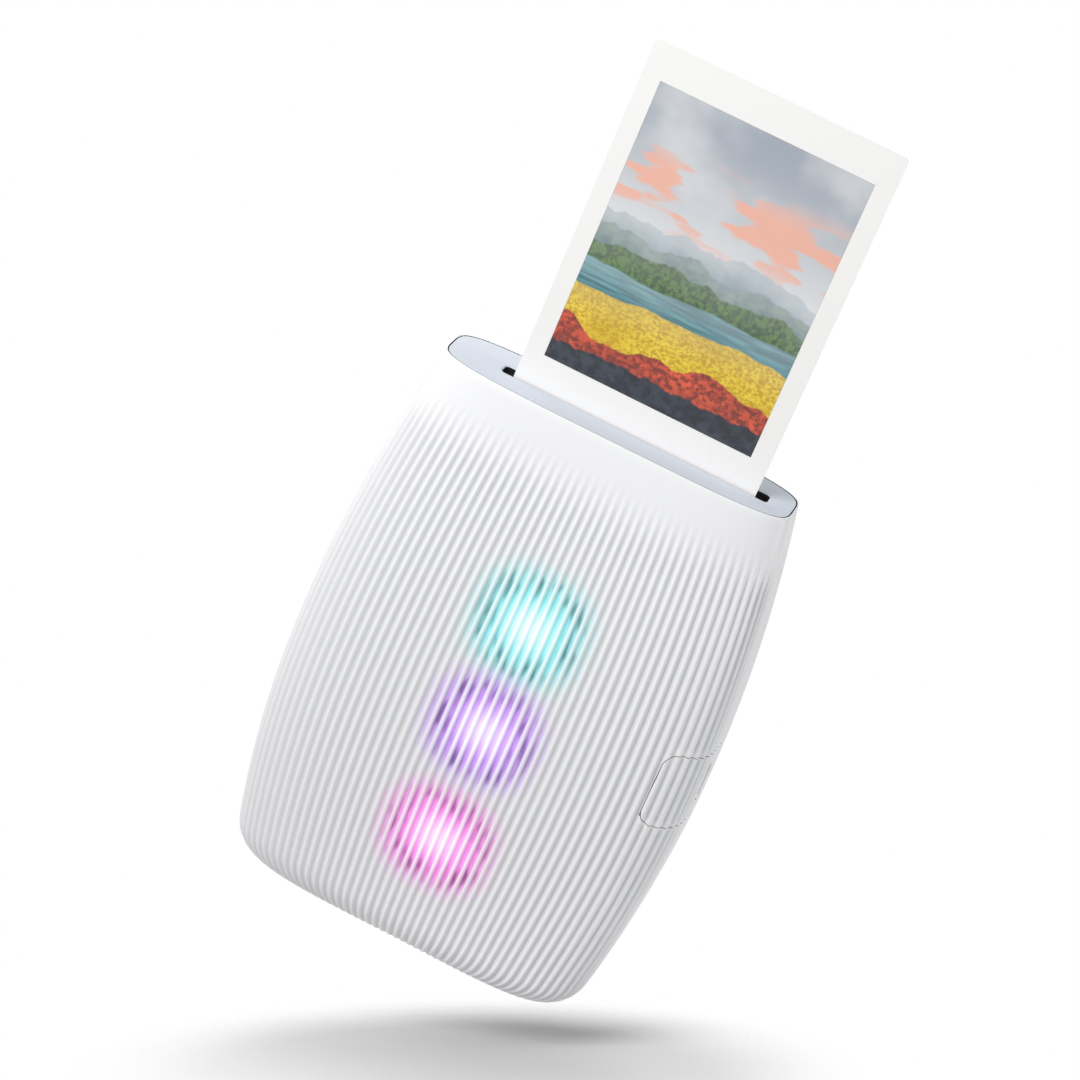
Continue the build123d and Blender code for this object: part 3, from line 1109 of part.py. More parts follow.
# ================================================================ power button
with BuildPart() as power_button:
    add(button_cut(0, BUTTON_FACE_X, BUTTON_FLANGE_X + 0.1))
    flange_half_w = BUTTON_W / 2 + BUTTON_FLANGE
    flange_half_l = BUTTON_L / 2 + BUTTON_FLANGE
    add(block(BUTTON_FLANGE_X, BUTTON_FLANGE_X + BUTTON_FLANGE_T, BUTTON_Y - flange_half_w,
              BUTTON_Y + flange_half_w, BUTTON_Z - flange_half_l, BUTTON_Z + flange_half_l))
    add(small_round(BUTTON_FLANGE_X, BUTTON_STEM_END_X, BUTTON_Y, BUTTON_Z, BUTTON_STEM_R))
save(power_button.part, "power_button")

with BuildPart() as power_switch:
    add(block(SWITCH_BASE_X - SWITCH_T, SWITCH_BASE_X, BUTTON_Y - SWITCH_SIZE / 2,
              BUTTON_Y + SWITCH_SIZE / 2, BUTTON_Z - SWITCH_SIZE / 2, BUTTON_Z + SWITCH_SIZE / 2))
    add(block(SWITCH_TIP_X, SWITCH_BASE_X - SWITCH_T, BUTTON_Y - SWITCH_PLUNGER_R,
              BUTTON_Y + SWITCH_PLUNGER_R, BUTTON_Z - SWITCH_PLUNGER_R, BUTTON_Z + SWITCH_PLUNGER_R))
save(power_switch.part, "power_switch")
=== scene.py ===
"""Studio picture of the compact photo printer with its print standing in the slot.

Everything is in the part's own frame: +Z up, the lit front at -Y, the charging
port at +X. Shape values are written in millimetres and turned into metres by MM.
"""

import json
from math import cos, pi, radians, sin, sqrt

import bmesh
import bpy
import numpy as np
from mathutils import Matrix, Vector


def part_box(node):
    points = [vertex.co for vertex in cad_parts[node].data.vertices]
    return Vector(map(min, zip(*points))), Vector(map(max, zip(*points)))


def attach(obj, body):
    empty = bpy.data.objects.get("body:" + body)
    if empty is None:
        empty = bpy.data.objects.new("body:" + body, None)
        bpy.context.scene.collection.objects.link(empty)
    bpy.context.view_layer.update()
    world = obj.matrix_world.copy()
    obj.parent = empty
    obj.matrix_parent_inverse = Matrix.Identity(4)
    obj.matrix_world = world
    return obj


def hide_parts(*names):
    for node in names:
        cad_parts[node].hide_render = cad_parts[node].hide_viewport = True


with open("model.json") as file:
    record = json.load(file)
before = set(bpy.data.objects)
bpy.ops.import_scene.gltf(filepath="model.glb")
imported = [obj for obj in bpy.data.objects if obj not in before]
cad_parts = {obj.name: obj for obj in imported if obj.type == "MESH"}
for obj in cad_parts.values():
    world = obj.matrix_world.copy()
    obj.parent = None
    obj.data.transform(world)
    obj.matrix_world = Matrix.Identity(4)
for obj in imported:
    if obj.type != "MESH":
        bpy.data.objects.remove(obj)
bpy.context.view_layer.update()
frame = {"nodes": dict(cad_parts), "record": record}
MM = 0.001
SLOT_OF_NODE = {part["node"]: part["material_slot"] for part in frame["record"]["subparts"]}

# ---------------------------------------------------------------- barrel, as in the part
BODY_WIDTH = 90.5
BODY_DEPTH = 37.3
BODY_HEIGHT = 124.0
WIDEST_HEIGHT = 55.0
TOP_WIDTH = 77.0
TOP_DEPTH = 19.6
BASE_WIDTH = 78.8
BASE_DEPTH = 29.0
BASE_ROUND_X = 8.3
BASE_ROUND_Y = 5.5
SECTION_POWER = 4.2
WALL = 1.8
FLUTES_PER_HALF = 56
FLUTE_DEPTH = 0.5
FLUTE_FADE = 12.0
SMOOTH_TOP = 6.0
PLATE_T = 1.6
RIM_T = 0.25                # what shows of the covers round the top plate
RIM_ROUND = 0.2             # rounded outer edge at the top of the covers
PLATE_GAP = 0.26            # between the rim and the top plate
PLATE_ROUND = 0.05
INNER_HEIGHTS = (112.0, 100.0, 80.0, WIDEST_HEIGHT, 32.0, BASE_ROUND_X, WALL)   # rings of the inside

# ---------------------------------------------------------------- parting lines and openings
FAR = 60.0                  # beyond the housing on every side
CUT_Z = (-5.0, 130.0)       # below its base and above its top
CORNER_TRIM = 0.01          # keeps a round end's radius just under half its width
SEAM = 0.07                 # each side of the line between front and rear cover
PANEL_GAP = 0.14
PANEL_Z = (53.95, 71.25)
PANEL_FRONT_X = 36.8
PANEL_CORNER = 3.3
PORT_Z = 62.6
PORT_Y = -3.2
SOCKET_W = 8.94
SOCKET_H = 3.26
SOCKET_GAP = 0.08
SOCKET_CORNER = 0.6
SOCKET_CUT_X = 36.0         # where the socket's cut ends inside the panel
BUTTON_Z = 70.0
BUTTON_Y = -5.5
BUTTON_L = 14.0
BUTTON_W = 5.0
BUTTON_GAP = 0.25
BUTTON_FLANGE = 1.5
BUTTON_FLANGE_T = 1.0
BUTTON_STEM_R = 1.2
BUTTON_STEM = 1.6
BUTTON_CUT_X = -40.0        # where the button's cut ends inside the cover
BUTTON_OVERLAP = 0.1        # how far the cap reaches into its flange
DOOR_HALF = 36.5
DOOR_Z = (11.6, 106.0)
DOOR_CORNER = 5.0
DOOR_GAP = 0.35
TAB_HALF = 6.3              # opening in the door for the latch's finger tab
TAB_Z = (95.1, 105.1)
TAB_Y = 12.0
HINGE_Y = 13.522
HINGE_Z = 9.2
KNUCKLE_R = 1.9
KNUCKLE_X = (10.0, 16.0)
LUG_X = (16.3, 21.0)
HINGE_ROOM = 0.3            # clearance round the knuckles and lugs
KNUCKLE_WEB_FRONT = 0.6     # how far a knuckle's web reaches in front of the pin
KNUCKLE_WEB_RISE = 0.4      # and up over the door's lower edge
SLOT_X = 3.2
SLOT_Y = -0.5
SLOT_W = 59.3
SLOT_D = 4.0
SLOT_CORNER = 1.0
SLOT_CHAMFER = 0.2
STEEP = 0.2                 # a face of the plate whose normal rises less than this is a wall

# ---------------------------------------------------------------- mesh density
SAMPLES_PER_FLUTE = 8
BASE_STEPS = 12
SIDE_STEPS = 34
FADE_STEPS = 14
EDGE_TURNS = (30, 60, 90)   # degrees round a rounded edge at which a ring lies
CORNER_STEPS = 8
HINGE_SIDES = 8
STEM_SIDES = 12
FLOOR_POINTS = 64
SHARP_ANGLE = radians(32)   # an edge that turns more than this stays sharp
WALL_TOLERANCE = 0.03       # a face this near an outline is a wall of its cut, in mm

# ---------------------------------------------------------------- white plastic
WHITE = (0.868, 0.870, 0.877)
# painted shade: a grey that darkens the bottoms of the flutes' grooves
GROOVE_PAINTED_SHADE = (0.60, 0.605, 0.63, 1.0)
GROOVE_SHADE_SHARE = 0.56         # how much of this painted shade darkens the bottom of a groove
GAP_SHADE_VALUE = 2.0                # groove value that marks the wall facing the top plate's edge for painted shade
# painted shade in the narrow gap between the covers' rim and the top plate
GAP_PAINTED_SHADE = (0.03, 0.03, 0.035, 1.0)

# ---------------------------------------------------------------- lights behind the front
LIGHT_X = 1.2
# height, colour in the grooves, colour on the crests, colour of the dark strokes
LIGHTS = (
    (82.7, (0.25, 0.76, 0.78), (0.70, 0.95, 0.96), (0.05, 0.15, 0.17)),
    (57.9, (0.56, 0.28, 0.88), (0.87, 0.79, 0.99), (0.14, 0.06, 0.26)),
    (30.5, (0.93, 0.24, 0.80), (0.99, 0.76, 0.94), (0.26, 0.04, 0.20)),
)
LIGHT_POWER = 2.5             # outline of a light: 2 is a circle, more is squarer
# distances from a light's centre over which each part of it fades, in mm
LIGHT_CORE = (0.0, 7.0)       # the white middle
LIGHT_BRIGHT = (3.0, 10.0)    # the bright middle
LIGHT_HALO = (7.5, 16.0)      # the coloured halo
STROKES_IN, STROKES_OUT = (5.0, 9.0), (9.5, 12.5)     # the ring of dark strokes in the grooves
CORE_SHARE = 0.5              # white in the middle of a light
HALO_SHARE = 0.85             # its colour in the grooves
CREST_LESS = 0.15             # and that much less of it on the crests
STROKE_SHARE = 0.8
STROKE_LENGTHS = (480.0, 0.0, 150.0)    # scale of the noise that breaks up the strokes
STROKE_EDGE = (0.40, 0.64)
BRIGHT_GLOW = 0.20            # light given off by the bright middle
HALO_GLOW = 0.07              # and by the halo

# ---------------------------------------------------------------- floor and light
FLOOR_RISE = radians(8.5)     # how steeply the camera looks down on the floor
FLOOR_MIDDLE = (-9.5, -81.0)  # right and up of the housing's middle, as the camera sees it
FLOOR_HALF = (86.0, 60.0)
FLOOR_FADE = (0.55, 0.98)     # share of its radius over which the floor fades out
FLOOR_REACH = 70.0            # how far above the floor a piece still casts the painted shadow on it
FLOOR_PAINTED_SHADOW = (0.08, 0.08, 0.08, 1.0)
FLOOR_PALE = (0.87, 0.87, 0.87, 1.0)
HOUSING_MIDDLE = Vector((0.0, 0.0, BODY_HEIGHT / 2))
WORLD_TINT = (0.975, 0.982, 0.995, 1.0)
WORLD_LIGHT = 0.42
LAMP_TARGET = Vector((0.0, 0.0, 70.0))
OVER_HEIGHT = 700.0           # of the lamp over the floor

# ---------------------------------------------------------------- camera
CAMERA_PLACE = (88.3, -719.2, 434.4)
CAMERA_TARGET = (-6.04, 0.0, 93.23)
CAMERA_ROLL = radians(23.47)
CAMERA_LENS = 131.6
CAMERA_SENSOR = 36.0
CAMERA_CLIP = (0.05, 10.0)


# ================================================================ barrel surface
def barrel(height, widest, at_top, at_base):
    """Half a size of the barrel at a height: a parabola up and another down from the widest place."""
    if height > WIDEST_HEIGHT:
        share = (height - WIDEST_HEIGHT) / (BODY_HEIGHT - WIDEST_HEIGHT)
        return widest - (widest - at_top) * share**2
    share = (WIDEST_HEIGHT - height) / WIDEST_HEIGHT
    return widest - (widest - at_base) * share**2


def half_sizes(height, inset=0.0):
    """Half width and half depth of the housing at a height, less an inset."""
    a = barrel(height, BODY_WIDTH / 2, TOP_WIDTH / 2, BASE_WIDTH / 2)
    b = barrel(height, BODY_DEPTH / 2, TOP_DEPTH / 2, BASE_DEPTH / 2)
    if height < BASE_ROUND_X:
        drawn_in = 1 - sqrt(1 - (1 - height / BASE_ROUND_X) ** 2)
        a -= BASE_ROUND_X * drawn_in
        b -= BASE_ROUND_Y * drawn_in
    return a - inset, b - inset


def section(a, b, angles):
    """Points of the rounded-off section with the half sizes a and b."""
    power = 2 / SECTION_POWER
    c, s = np.cos(angles), np.sin(angles)
    return a * np.sign(c) * np.abs(c) ** power, b * np.sign(s) * np.abs(s) ** power


def even_angles(count):
    """Angles that cut half the widest section into equal lengths."""
    u = np.linspace(0, 1, 2001)[:-1]
    warped = u * u * (3 - 2 * u)
    angles = np.concatenate([warped * pi / 2, (1 + warped) * pi / 2, [pi]])
    x, y = section(BODY_WIDTH / 2, BODY_DEPTH / 2, angles)
    lengths = np.concatenate([[0], np.cumsum(np.hypot(np.diff(x), np.diff(y)))])
    return np.interp(np.linspace(0, lengths[-1], count + 1), lengths, angles)


HALF_SAMPLES = SAMPLES_PER_FLUTE * FLUTES_PER_HALF
ANGLES = even_angles(HALF_SAMPLES)
WAVE = (1 + np.cos(2 * pi * np.arange(HALF_SAMPLES + 1) / SAMPLES_PER_FLUTE)) / 2


def closed_ring(x, y, height):
    """The front half of a section and its mirror image at the back, as one ring."""
    front = np.stack([x, -y, np.full_like(x, height)], axis=1)
    back = np.stack([x, y, np.full_like(x, height)], axis=1)[-2:0:-1]
    return np.concatenate([front, back]) * MM


def fluted_ring(height, inset=0.0):
    """A ring of the outer skin, with its flutes, and how deep in a groove each point is."""
    a, b = half_sizes(height)
    x, y = section(a, b, ANGLES)
    nx = np.sign(x) * np.abs(x / a) ** (SECTION_POWER - 1) / a
    ny = np.abs(y / b) ** (SECTION_POWER - 1) / b
    size = np.hypot(nx, ny)
    fade = (BODY_HEIGHT - SMOOTH_TOP - height) / FLUTE_FADE
    fade = min(max(fade, 0.0), 1.0)
    fade = fade * fade * (3 - 2 * fade)
    step = (FLUTE_DEPTH * fade * WAVE + inset) / size
    x, y = x - step * nx, y - step * ny
    y[0] = y[-1] = 0.0
    groove = np.concatenate([WAVE, WAVE[-2:0:-1]]) * fade
    return closed_ring(x, y, height), groove


def plain_ring(height, inset):
    """A ring without flutes."""
    a, b = half_sizes(height, inset)
    x, y = section(a, b, ANGLES)
    y[0] = y[-1] = 0.0
    return closed_ring(x, y, height)


# ================================================================ mesh helpers
PLANES = {"XY": (0, 1), "XZ": (0, 2), "YZ": (1, 2)}     # the axes of an outline's two coordinates


def new_piece(name, vertices, faces):
    mesh = bpy.data.meshes.new(name)
    mesh.from_pydata([tuple(v) for v in vertices], [], faces)
    mesh.update()
    piece = bpy.data.objects.new(name, mesh)
    bpy.context.scene.collection.objects.link(piece)
    return piece


def delete(piece):
    mesh = piece.data
    bpy.data.objects.remove(piece)
    bpy.data.meshes.remove(mesh)


def face_outward(piece):
    """Turns every face so that its normal points out of the closed mesh."""
    work = bmesh.new()
    work.from_mesh(piece.data)
    bmesh.ops.recalc_face_normals(work, faces=work.faces)
    work.to_mesh(piece.data)
    work.free()


def ring_stack(name, rings):
    """A closed skin through rings that have the same number of points, capped at both ends."""
    count = len(rings[0])
    faces = []
    for level in range(len(rings) - 1):
        low, high = level * count, (level + 1) * count
        for i in range(count):
            j = (i + 1) % count
            faces.append((low + i, high + i, high + j, low + j))
    faces.append(tuple(range(count)))
    faces.append(tuple(reversed(range((len(rings) - 1) * count, len(rings) * count))))
    piece = new_piece(name, np.concatenate(rings), faces)
    face_outward(piece)
    return piece


def prism(name, outline, plane, low, high):
    """A straight bar over an outline, from low to high across its plane, in mm."""
    first, second = PLANES[plane]
    rings = []
    for t in (low, high):
        ring = np.full((len(outline), 3), float(t))
        ring[:, first] = [u for u, _ in outline]
        ring[:, second] = [v for _, v in outline]
        rings.append(ring * MM)
    return ring_stack(name, rings)


def rounded_rectangle(u, v, width, height, radius):
    points = []
    for quarter, (su, sv) in enumerate(((1, 1), (-1, 1), (-1, -1), (1, -1))):
        for step in range(CORNER_STEPS + 1):
            angle = pi / 2 * (quarter + step / CORNER_STEPS)
            points.append((
                u + su * (width / 2 - radius) + radius * cos(angle),
                v + sv * (height / 2 - radius) + radius * sin(angle),
            ))
    return points


def rectangle(u0, u1, v0, v1):
    return [(u0, v0), (u1, v0), (u1, v1), (u0, v1)]


def even_sided(u, v, radius, sides):
    """A polygon with equal sides, one of them straight to the right of its middle."""
    turn = pi / sides
    points = []
    for i in range(sides):
        angle = turn + 2 * pi * i / sides
        points.append((u + radius * cos(angle), v + radius * sin(angle)))
    return points


def boolean(piece, cutter, operation="DIFFERENCE"):
    """Cuts piece with cutter, keeps the result as its mesh and deletes the cutter."""
    modifier = piece.modifiers.new("cut", "BOOLEAN")
    modifier.operation = operation
    modifier.object = cutter
    modifier.solver = "MANIFOLD"
    graph = bpy.context.evaluated_depsgraph_get()
    result = bpy.data.meshes.new_from_object(piece.evaluated_get(graph))
    piece.modifiers.clear()
    old = piece.data
    piece.data = result
    bpy.data.meshes.remove(old)
    delete(cutter)


def line_walls(piece, material, plane, u, v, width, height, radius):
    """Gives material to the faces that lie on a rounded rectangle's outline, as a cut leaves them."""
    first, second = PLANES[plane]
    piece.data.materials.append(material)
    for face in piece.data.polygons:
        du = abs(face.center[first] / MM - u) - width / 2 + radius
        dv = abs(face.center[second] / MM - v) - height / 2 + radius
        distance = sqrt(max(du, 0.0) ** 2 + max(dv, 0.0) ** 2) + min(max(du, dv), 0.0) - radius
        if abs(distance) < WALL_TOLERANCE:
            face.material_index = len(piece.data.materials) - 1


def copy_piece(source, name):
    piece = bpy.data.objects.new(name, source.data.copy())
    bpy.context.scene.collection.objects.link(piece)
    return piece


def join(piece, *others):
    """Moves the others' meshes into piece."""
    work = bmesh.new()
    work.from_mesh(piece.data)
    for other in others:
        work.from_mesh(other.data)
        delete(other)
    work.to_mesh(piece.data)
    work.free()


def smooth_by_angle(piece):
    work = bmesh.new()
    work.from_mesh(piece.data)
    for face in work.faces:
        face.smooth = True
    for edge in work.edges:
        edge.smooth = edge.calc_face_angle(pi) < SHARP_ANGLE
    work.to_mesh(piece.data)
    work.free()


# ================================================================ materials
class Nodes:
    """Short names for building one node tree."""

    def __init__(self, name):
        self.material = bpy.data.materials.new(name)
        self.material.use_nodes = True
        self.tree = self.material.node_tree
        self.shader = self.tree.nodes["Principled BSDF"]
        self.object_place = self.node("ShaderNodeTexCoord").outputs["Object"]

    def node(self, kind, inputs=None, **settings):
        made = self.tree.nodes.new(kind)
        for key, value in settings.items():
            setattr(made, key, value)
        for key, value in (inputs or {}).items():
            self.put(made.inputs[key], value)
        return made

    def put(self, socket, value):
        if isinstance(value, bpy.types.NodeSocket):
            self.tree.links.new(value, socket)
        else:
            socket.default_value = value

    def set(self, name, value):
        self.put(self.shader.inputs[name], value)

    def math(self, operation, a, b=0.0):
        return self.node("ShaderNodeMath", {0: a, 1: b}, operation=operation).outputs[0]

    def mix(self, factor, a, b):
        made = self.node("ShaderNodeMix", data_type="RGBA")
        self.put(made.inputs[0], factor)
        self.put(made.inputs[6], a)
        self.put(made.inputs[7], b)
        return made.outputs[2]

    def smooth_range(self, value, low, high, to_low=0.0, to_high=1.0):
        made = self.node(
            "ShaderNodeMapRange",
            {"Value": value, "From Min": low, "From Max": high, "To Min": to_low, "To Max": to_high},
            interpolation_type="SMOOTHSTEP",
        )
        return made.outputs[0]

    def scaled(self, scale):
        return self.node("ShaderNodeMapping", {"Vector": self.object_place, "Scale": scale}).outputs[0]

    def x_and_z(self, place):
        made = self.node("ShaderNodeSeparateXYZ", {0: place})
        return made.outputs[0], made.outputs[2]

    def noise(self, place, scale, detail=3.0, roughness=0.5):
        made = self.node(
            "ShaderNodeTexNoise",
            {"Vector": place, "Scale": scale, "Detail": detail, "Roughness": roughness},
        )
        return made.outputs["Fac"]

    def bump(self, height, strength, distance):
        made = self.node(
            "ShaderNodeBump", {"Height": height, "Strength": strength, "Distance": distance}
        )
        self.set("Normal", made.outputs[0])


def shade(colour, factor):
    return tuple(channel * factor for channel in colour[:3]) + (1.0,)


def moulded(name, colour, roughness=0.42, grain=2600.0, depth=0.00001):
    """Moulded plastic: a fine spark-eroded grain and a faint change of tone."""
    nodes = Nodes(name)
    cloud = nodes.noise(nodes.object_place, 28.0)
    nodes.set("Base Color", nodes.mix(cloud, shade(colour, 0.97), shade(colour, 1.0)))
    fine = nodes.noise(nodes.object_place, grain, detail=2.0)
    nodes.set("Roughness", nodes.smooth_range(fine, 0.2, 0.8, roughness - 0.05, roughness + 0.05))
    nodes.bump(fine, 0.25, depth)
    return nodes


def brushed(name, colour, roughness=0.32):
    """Metal with fine drawn lines along X."""
    nodes = Nodes(name)
    lines = nodes.noise(nodes.scaled((30.0, 2400.0, 2400.0)), 1.0, detail=4.0)
    nodes.set("Base Color", nodes.mix(lines, shade(colour, 0.82), shade(colour, 1.0)))
    nodes.set("Metallic", 1.0)
    nodes.set("Roughness", nodes.smooth_range(lines, 0.3, 0.7, roughness - 0.08, roughness + 0.1))
    nodes.bump(lines, 0.15, 0.00001)
    return nodes


def paper(name, colour):
    """Coated card: fibres under a satin coat."""
    nodes = Nodes(name)
    fibres = nodes.noise(nodes.scaled((900.0, 900.0, 2600.0)), 1.0, detail=5.0)
    nodes.set("Base Color", nodes.mix(fibres, shade(colour, 0.975), shade(colour, 1.0)))
    nodes.set("Roughness", nodes.smooth_range(fibres, 0.3, 0.7, 0.44, 0.56))
    nodes.set("Coat Weight", 0.25)
    nodes.set("Coat Roughness", 0.22)
    nodes.bump(fibres, 0.12, 0.00001)
    return nodes


def foam(name, colour):
    """Open foam: rough, with a pit in every cell, painted darker into the pit as shade."""
    nodes = Nodes(name)
    cells = nodes.node("ShaderNodeTexVoronoi", {"Vector": nodes.object_place, "Scale": 1700.0})
    distance = cells.outputs["Distance"]
    # painted shade: the colour darkens into each cell's pit and lightens towards its rim, following the
    # bump
    nodes.set("Base Color", nodes.mix(distance, shade(colour, 0.5), shade(colour, 1.6)))
    nodes.set("Roughness", 0.95)
    nodes.bump(distance, 0.8, 0.00015)
    return nodes


def solder_mask(name, colour):
    """A circuit board: green lacquer over raised copper runs."""
    nodes = Nodes(name)
    upright = nodes.node("ShaderNodeMapping", {
        "Vector": nodes.object_place, "Rotation": (radians(90), 0, 0),
    })
    runs = nodes.node("ShaderNodeTexBrick", {
        "Vector": upright.outputs[0], "Scale": 260.0, "Mortar Size": 0.07, "Mortar Smooth": 0.3,
        "Brick Width": 1.3, "Row Height": 0.45,
    })
    copper = runs.outputs["Fac"]
    nodes.set("Base Color", nodes.mix(copper, shade(colour, 0.8), shade(colour, 1.9)))
    nodes.set("Roughness", nodes.smooth_range(copper, 0.0, 1.0, 0.42, 0.28))
    nodes.bump(copper, 0.4, 0.00004)
    return nodes


def lit_plastic(name, colour, strength):
    """Frosted plastic with a lamp behind it."""
    nodes = moulded(name, colour, roughness=0.6)
    nodes.set("Emission Color", shade(colour, 1.0))
    nodes.set("Emission Strength", strength)
    return nodes


def clear_glass(name, colour):
    """Polished glass with the faint streaks of its moulding."""
    nodes = Nodes(name)
    streak = nodes.noise(nodes.scaled((60.0, 900.0, 900.0)), 1.0)
    nodes.set("Base Color", shade(colour, 1.0))
    nodes.set("Roughness", nodes.smooth_range(streak, 0.2, 0.8, 0.03, 0.09))
    nodes.set("Transmission Weight", 0.9)
    return nodes


def away_from(nodes, height):
    """Distance from the middle of a light, round in its corners and square between, in mm."""
    x, z = nodes.x_and_z(nodes.object_place)
    gaps = []
    for value, middle in ((x, LIGHT_X), (z, height)):
        offset = nodes.math("SUBTRACT", nodes.math("DIVIDE", value, MM), middle)
        gaps.append(nodes.math("POWER", nodes.math("ABSOLUTE", offset), LIGHT_POWER))
    return nodes.math("POWER", nodes.math("ADD", *gaps), 1 / LIGHT_POWER)


def white_housing(name, lit):
    """Satin white plastic with painted shade in the bottoms of the grooves and on the wall round the top
    plate; the front also carries the three glows.
    """
    nodes = Nodes(name)
    groove = nodes.node("ShaderNodeAttribute", attribute_name="groove").outputs["Fac"]
    cloud = nodes.noise(nodes.object_place, 22.0)
    base = nodes.mix(cloud, shade(WHITE, 0.985), shade(WHITE, 1.0))
    deep = nodes.smooth_range(groove, 0.15, 1.0)
    # painted shade: the grooves' bottoms are greyed in the colour
    base = nodes.mix(nodes.math("MULTIPLY", deep, GROOVE_SHADE_SHARE), base, GROOVE_PAINTED_SHADE)
    # painted shade: the wall facing the top plate's edge is coloured near black
    base = nodes.mix(nodes.smooth_range(groove, 1.2, GAP_SHADE_VALUE), base, GAP_PAINTED_SHADE)
    fine = nodes.noise(nodes.object_place, 2600.0, detail=2.0)
    nodes.set("Roughness", nodes.smooth_range(fine, 0.2, 0.8, 0.36, 0.46))
    nodes.bump(fine, 0.2, 0.000008)
    if lit:
        base = light_through(nodes, base, groove, deep)
    nodes.set("Base Color", base)
    return nodes.material


def light_through(nodes, base, groove, deep):
    """Three soft coloured lights behind the front: pale on the crests, deep in the grooves."""
    crest = nodes.smooth_range(groove, 0.0, 0.65, 1.0, 0.0)
    ragged = nodes.noise(nodes.scaled(STROKE_LENGTHS), 1.0, detail=1.0)
    ragged = nodes.smooth_range(ragged, *STROKE_EDGE)
    glow = (0.0, 0.0, 0.0, 1.0)
    for height, groove_colour, crest_colour, stroke_colour in LIGHTS:
        away = away_from(nodes, height)
        bright = nodes.smooth_range(away, *LIGHT_BRIGHT, 1.0, 0.0)
        halo = nodes.smooth_range(away, *LIGHT_HALO, 1.0, 0.0)
        ring = nodes.math("MULTIPLY", nodes.smooth_range(away, *STROKES_IN),
                          nodes.smooth_range(away, *STROKES_OUT, 1.0, 0.0))
        stroke = nodes.math("MULTIPLY", nodes.math("MULTIPLY", ring, ragged), deep)
        hue = nodes.mix(crest, groove_colour + (1.0,), crest_colour + (1.0,))
        core = nodes.smooth_range(away, *LIGHT_CORE, CORE_SHARE, 0.0)
        hue = nodes.mix(core, hue, (1.0, 1.0, 1.0, 1.0))
        strength = nodes.math("ADD", nodes.math("MULTIPLY", crest, -CREST_LESS), HALO_SHARE)
        base = nodes.mix(nodes.math("MULTIPLY", halo, strength), base, hue)
        base = nodes.mix(nodes.math("MULTIPLY", stroke, STROKE_SHARE), base, stroke_colour + (1.0,))
        level = nodes.math("ADD", nodes.math("MULTIPLY", bright, BRIGHT_GLOW),
                           nodes.math("MULTIPLY", halo, HALO_GLOW))
        level = nodes.math("MULTIPLY", level, nodes.math("SUBTRACT", 1.0, stroke))
        glow = nodes.mix(level, glow, hue)
    nodes.set("Emission Color", glow)
    nodes.set("Emission Strength", 1.0)
    return base


